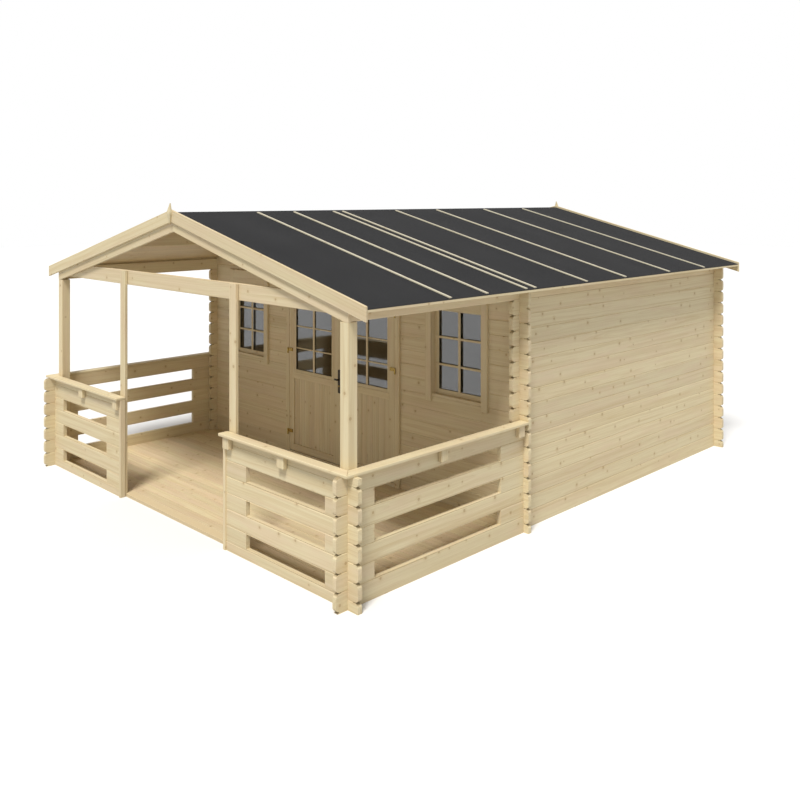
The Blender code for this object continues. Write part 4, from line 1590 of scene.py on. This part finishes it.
@dataclass
class DoorLeaf(Sided):
    """One leaf: stiles, rails, boards below, and a glazed light with bars above."""

    body: Body
    light_x: Span = (0.110, 0.656)
    light_z: Span = (0.887, 1.540)
    panel_x: Span = (0.076, 0.684)
    panel_z: Span = (0.135, 0.795)
    bead: float = 0.032
    bead_edges: Point = (0.003, 0.0005, 0.004)  # in front of the pane, round it and behind it
    lip: Span = (0.003, 0.011)  # behind the face, in front of the rabbet
    back: float = 0.001  # how far the beads behind the pane are set back
    rabbet: float = 0.012
    bar_x: float = 0.383
    bar: float = 0.024
    rungs: Span = (1.102, 1.320)
    rung: float = 0.012
    bar_depth: float = 0.0115
    rung_step: float = 0.002  # between the faces of the bar and the rungs
    boards: int = 8
    board_depth: float = 0.0105  # behind the faces of the stiles
    board_edge: float = 0.0032

    def build(self) -> None:
        """Make the leaf."""
        x, y, z = self.spans("door_leaf")
        glass = self.spans("door_glass")[1]
        rails = [(z[0], self.panel_z[0]), (self.panel_z[1], self.light_z[0] - self.bead),
                 (self.light_z[1] + self.bead, z[1])]
        self.made.framing(x, self.mirrored(self.panel_x), y, z, rails, SOFT_EDGE)
        self._light(y, glass)
        mesh = joined("leaf", [plain("leaf", self.made.mesh), self._panel(y)])
        add_piece(f"{self.word}_door_leaf_joinery", mesh, body=self.body,
                  replaces=f"{self.word}_door_leaf")
        sheet = Carpentry()
        sheet.box(widened(self.mirrored(self.light_x), self.rabbet - HAIR), glass,
                  widened(self.light_z, self.rabbet - HAIR), Axis.Z, 0.0)
        sheet.piece(f"{self.word}_door_pane", Finish.GLASS, self.body, f"{self.word}_door_glass")

    def _light(self, y: Span, glass: Span) -> None:
        """Beads round the pane, which stand over its rabbet in front, and the bars on its faces.

        Args:
            y: Extent of the leaf along Y.
            glass: Extent of the pane along Y.
        """
        lip = (y[0] + self.lip[0], y[0] + self.lip[1])
        layers = ((lip, 0.0), ((lip[1] + HAIR, glass[1] - HAIR), self.rabbet),
                  ((glass[1] + HAIR, y[1] - self.back), 0.0))
        for (deep, back), chamfer in zip(layers, self.bead_edges):
            self._beads(deep, back, chamfer)
        front, rear = glass[0] - self.bar_depth, glass[1] + self.bar_depth
        self._bars((front, glass[0] - HAIR), (front + self.rung_step, glass[0] - HAIR))
        self._bars((glass[1] + HAIR, rear), (glass[1] + HAIR, rear - self.rung_step))

    def _beads(self, y: Span, back: float, chamfer: float) -> None:
        """Four members between the light and the stiles and rails.

        Args:
            y: Their extent through the leaf.
            back: How far their inner edge lies outside the light.
            chamfer: Width of their planed edges.
        """
        x, z = widened(self.mirrored(self.light_x), back), widened(self.light_z, back)
        reach = self.bead - back - HAIR
        room, outer = widened(self.mirrored(self.panel_x), -HAIR), widened(x, reach)
        high = widened(z, reach)
        self.made.framing((max(outer[0], room[0]), min(outer[1], room[1])), x, y, high,
                          [(high[0], z[0]), (z[1], high[1])], chamfer)

    def _bars(self, y: Span, rung_y: Span) -> None:
        """The cross bars on one face of the pane.

        Args:
            y: Extent of the upright bar through the leaf.
            rung_y: Extent of the rungs through the leaf.
        """
        x = widened(self.mirrored(self.light_x), -HAIR)
        bar = about(self.side * self.bar_x, self.bar / 2)
        self.made.box(bar, y, widened(self.light_z, -HAIR), Axis.Z, ROUND_EDGE)
        for height in self.rungs:
            for span in ((x[0], bar[0] - HAIR), (bar[1] + HAIR, x[1])):
                self.made.box(span, rung_y, about(height, self.rung / 2), Axis.X, SOFT_EDGE)

    def _panel(self, y: Span) -> bpy.types.Mesh:
        """Upright tongued boards between the stiles.

        Args:
            y: Extent of the leaf along Y.

        Returns:
            The mesh of the boards.
        """
        x = self.mirrored(self.panel_x)
        pitch = extent(x) / self.boards
        board = Carpentry(seeded=False)
        board.box((HAIR, pitch - HAIR), widened(y, -self.board_depth),
                  widened(self.panel_z, -HAIR), Axis.Z, self.board_edge)
        row = Row(self.boards, (x[0], 0.0, 0.0), (pitch, 0.0, 0.0), seed=11 + self.side)
        return row.lay(board)


@dataclass
class Ironmongery:
    """Screws of the hinges, and the handles and lock of the left leaf."""

    hinge_face: float = 0.0087  # behind the front of the knuckle
    hinge_screws: tuple[Span, ...] = ((0.010, 0.016), (0.030, 0.008), (0.030, 0.024))  # out, down
    half: float = 0.018  # of the plate's width
    plate: float = 0.008
    corner: float = 0.010
    plate_screws: float = 0.012  # from the plate's ends
    screw_depth: float = 0.0002
    neck: tuple[Span, ...] = ((0.0130, 0.0125), (0.0085, 0.036))  # radius and reach of its steps
    neck_edge: float = 0.0008
    lever_height: float = 0.132  # above the foot of the plate
    lever: Span = (-0.020, 0.021)  # its ends
    lever_radii: Span = (0.0060, 0.0090)
    lever_edge: float = 0.0035
    lock: Point = (0.0085, 0.003, 0.0012)  # radius, depth and place of its middle
    lock_height: float = 0.068
    lock_sides: int = 24

    def build(self) -> None:
        """Add the ironmongery of both leaves."""
        for side, body in zip(SIDES, (Body.LEFT_DOOR, Body.RIGHT_DOOR)):
            heads = Heads(f"{side_word(side)}_hinge_screws", *SCREW)
            for number in HINGES:
                x, y, z = node_spans(f"{side_word(side)}_door_hinge_{number}")
                inner = distances(x)[0]
                for out, drop in self.hinge_screws:
                    heads.add((side * (inner + out), y[0] + self.hinge_face, z[1] - drop),
                              (0.0, -1.0, 0.0))
            heads.build(Finish.BRASS, body)
        self._handles()

    def _handles(self) -> None:
        """A handle, its screws and its lock cylinder on each face of the left leaf."""
        x, _, z = node_spans("door_handle")
        centre = x[1] - self.half
        handles, barrels = Carpentry(), bmesh.new()
        screws = Heads("handle_screws", *SCREW)
        radius, deep, off = self.lock
        for face, way in zip(node_spans("left_door_leaf")[1], SIDES):
            self._handle(handles, face + way * HAIR, way, centre, z)
            front = face + way * (HAIR + self.plate)
            for height in (z[0] + self.plate_screws, z[1] - self.plate_screws):
                screws.add((centre, front + way * self.screw_depth, height), (0.0, float(way), 0.0))
            place = Matrix.Translation((centre, front + way * off, z[0] + self.lock_height))
            bmesh.ops.create_cone(barrels, cap_ends=True, segments=self.lock_sides,
                                  radius1=radius, radius2=radius, depth=deep,
                                  matrix=place @ Matrix.Rotation(math.pi / 2, 4, "X"))
        handles.piece("door_handle_set", Finish.BLACK, Body.LEFT_DOOR, "door_handle")
        screws.build(Finish.BLACK, Body.LEFT_DOOR)
        add_piece("lock_cylinder", plain("lock_cylinder", barrels), Finish.BRASS, Body.LEFT_DOOR)

    def _handle(self, made: Carpentry, face: float, way: int, centre: float, z: Span) -> None:
        """Make one handle.

        Args:
            made: Where it is added.
            face: The face that it stands on.
            way: Away from the leaf along Y.
            centre: Middle of the plate.
            z: Bottom and top of the plate.
        """
        x, high = (widened(span, -self.corner) for span in (about(centre, self.half), z))
        outline = []
        for knee, start in (((x[1], high[1]), 0), ((x[0], high[1]), 90),
                            ((x[0], high[0]), 180), ((x[1], high[0]), 270)):
            outline += arc(knee, (self.corner, self.corner), range(start, start + 91, 30))
        made.prism(outline, Axis.Y, ordered(face, face + way * self.plate), Axis.Z.value,
                   EDGE, segments=2)
        height = z[0] + self.lever_height
        start = self.plate
        for radius, stop in self.neck:
            ends = ordered(face + way * (start + HAIR), face + way * stop)
            made.prism(arc((centre, height), (radius, radius), range(0, 360, 15)), Axis.Y, ends,
                       Axis.Z.value, self.neck_edge)
            start = stop
        bar = arc((face + way * start, height), self.lever_radii,
                  [22.5 * turn for turn in range(16)])
        made.prism(bar, Axis.X, self.lever, Axis.X.value, self.lever_edge, segments=2)


# ---------------------------------------------------------------- studio

def seen_ray(graph: Graph) -> Value:
    """1 for rays that show a surface to the camera, straight or through glass and reflections.

    Args:
        graph: The graph to add to.

    Returns:
        The factor.
    """
    path = graph.node("ShaderNodeLightPath", output="Is Camera Ray")
    shown = graph.math("MAXIMUM", path.out("Is Glossy Ray"), path.out("Is Transmission Ray"))
    return graph.math("MAXIMUM", path, shown)


@dataclass
class Studio:
    """Pale floor, soft sun and the camera of a catalogue picture."""

    sun_way: Point = (-0.240, 0.455, -0.857)
    sun_strength: float = 3.12
    sun_width: float = math.radians(16.0)
    fill_way: Point = (-0.90, 0.10, -0.25)
    fill_strength: float = 0.25
    fill_width: float = math.radians(110.0)
    warmth: Colour = (1.0, 0.985, 0.955)
    sky: float = 0.415
    sky_colour: Colour = (0.97, 0.98, 1.0)
    ground: float = 40.0  # half its width
    ground_seen: Colour = (0.86, 0.86, 0.865)
    bounce: Colour = (0.56, 0.56, 0.56)
    camera_place: Point = (6.3226, -6.3394, 2.6033)
    camera_turn: Point = (90.0, 0.0, 44.977)
    camera_reach: float = 100.0
    sensor: float = 36.0
    lens: float = 39.61
    lift: float = -0.25256

    def build(self) -> None:
        """Set up the light, the ground and the camera."""
        self._ground()
        self._lamp("sun", self.sun_way, self.sun_strength, self.sun_width)
        self._lamp("fill", self.fill_way, self.fill_strength, self.fill_width)
        self._sky()
        self._camera()
        bpy.context.scene.view_settings.view_transform = "Standard"

    def _ground(self) -> None:
        """A wide plain floor, white to the eye and duller in the light that it throws back."""
        mesh = bpy.data.meshes.new("ground")
        far = self.ground
        mesh.from_pydata([(-far, -far, 0), (far, -far, 0), (far, far, 0), (-far, far, 0)], [],
                         [(0, 1, 2, 3)])
        made, graph, shader = new_material("ground")
        graph.feed(shader.inputs["Base Color"],
                   graph.mix(seen_ray(graph), self.bounce, self.ground_seen))
        graph.feed(shader.inputs["Roughness"], 1.0)
        mesh.materials.append(made)
        linked("ground", mesh)

    def _lamp(self, name: str, way: Point, strength: float, width: float) -> None:
        """Add a lamp.

        Args:
            name: Its name.
            way: The direction of its light.
            strength: Its strength.
            width: How wide it looks from the cabin, in radians.
        """
        lamp = bpy.data.lights.new(name, "SUN")
        lamp.energy, lamp.angle, lamp.color = strength, width, self.warmth
        linked(name, lamp).rotation_euler = Vector(way).to_track_quat("-Z", "Y").to_euler()

    def _sky(self) -> None:
        """Even light all round, seen as white by the camera and in reflections."""
        world = bpy.data.worlds.new("sky")
        bpy.context.scene.world = world
        world.use_nodes = True
        graph = Graph(world.node_tree)
        graph.tree.nodes.clear()
        even = graph.node("ShaderNodeBackground", None, {0: self.sky_colour, 1: self.sky})
        white = graph.node("ShaderNodeBackground", None, {0: (1.0, 1.0, 1.0), 1: 1.0})
        mixed = graph.node("ShaderNodeMixShader", None, {0: seen_ray(graph), 1: even, 2: white})
        graph.node("ShaderNodeOutputWorld", None, {0: mixed})

    def _camera(self) -> None:
        """The camera, level and shifted down."""
        lens = bpy.data.cameras.new("camera")
        lens.lens, lens.sensor_width, lens.shift_y = self.lens, self.sensor, self.lift
        lens.clip_end = self.camera_reach
        camera = linked("camera", lens)
        camera.location = self.camera_place
        camera.rotation_euler = [math.radians(angle) for angle in self.camera_turn]
        bpy.context.scene.camera = camera


def main() -> None:
    """Build the cabin's finish in order."""
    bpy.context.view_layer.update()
    parts = [Shell(), Floors(), Roof(), Handrail(-1), Handrail(1), Window(-1), Window(1),
             DoorFrame(), DoorLeaf(-1, Body.LEFT_DOOR), DoorLeaf(1, Body.RIGHT_DOOR),
             Ironmongery(), Studio()]
    for part in parts:
        part.build()


if __name__ == "__main__":
    logging.basicConfig(level=logging.INFO, format="%(message)s")
    main()
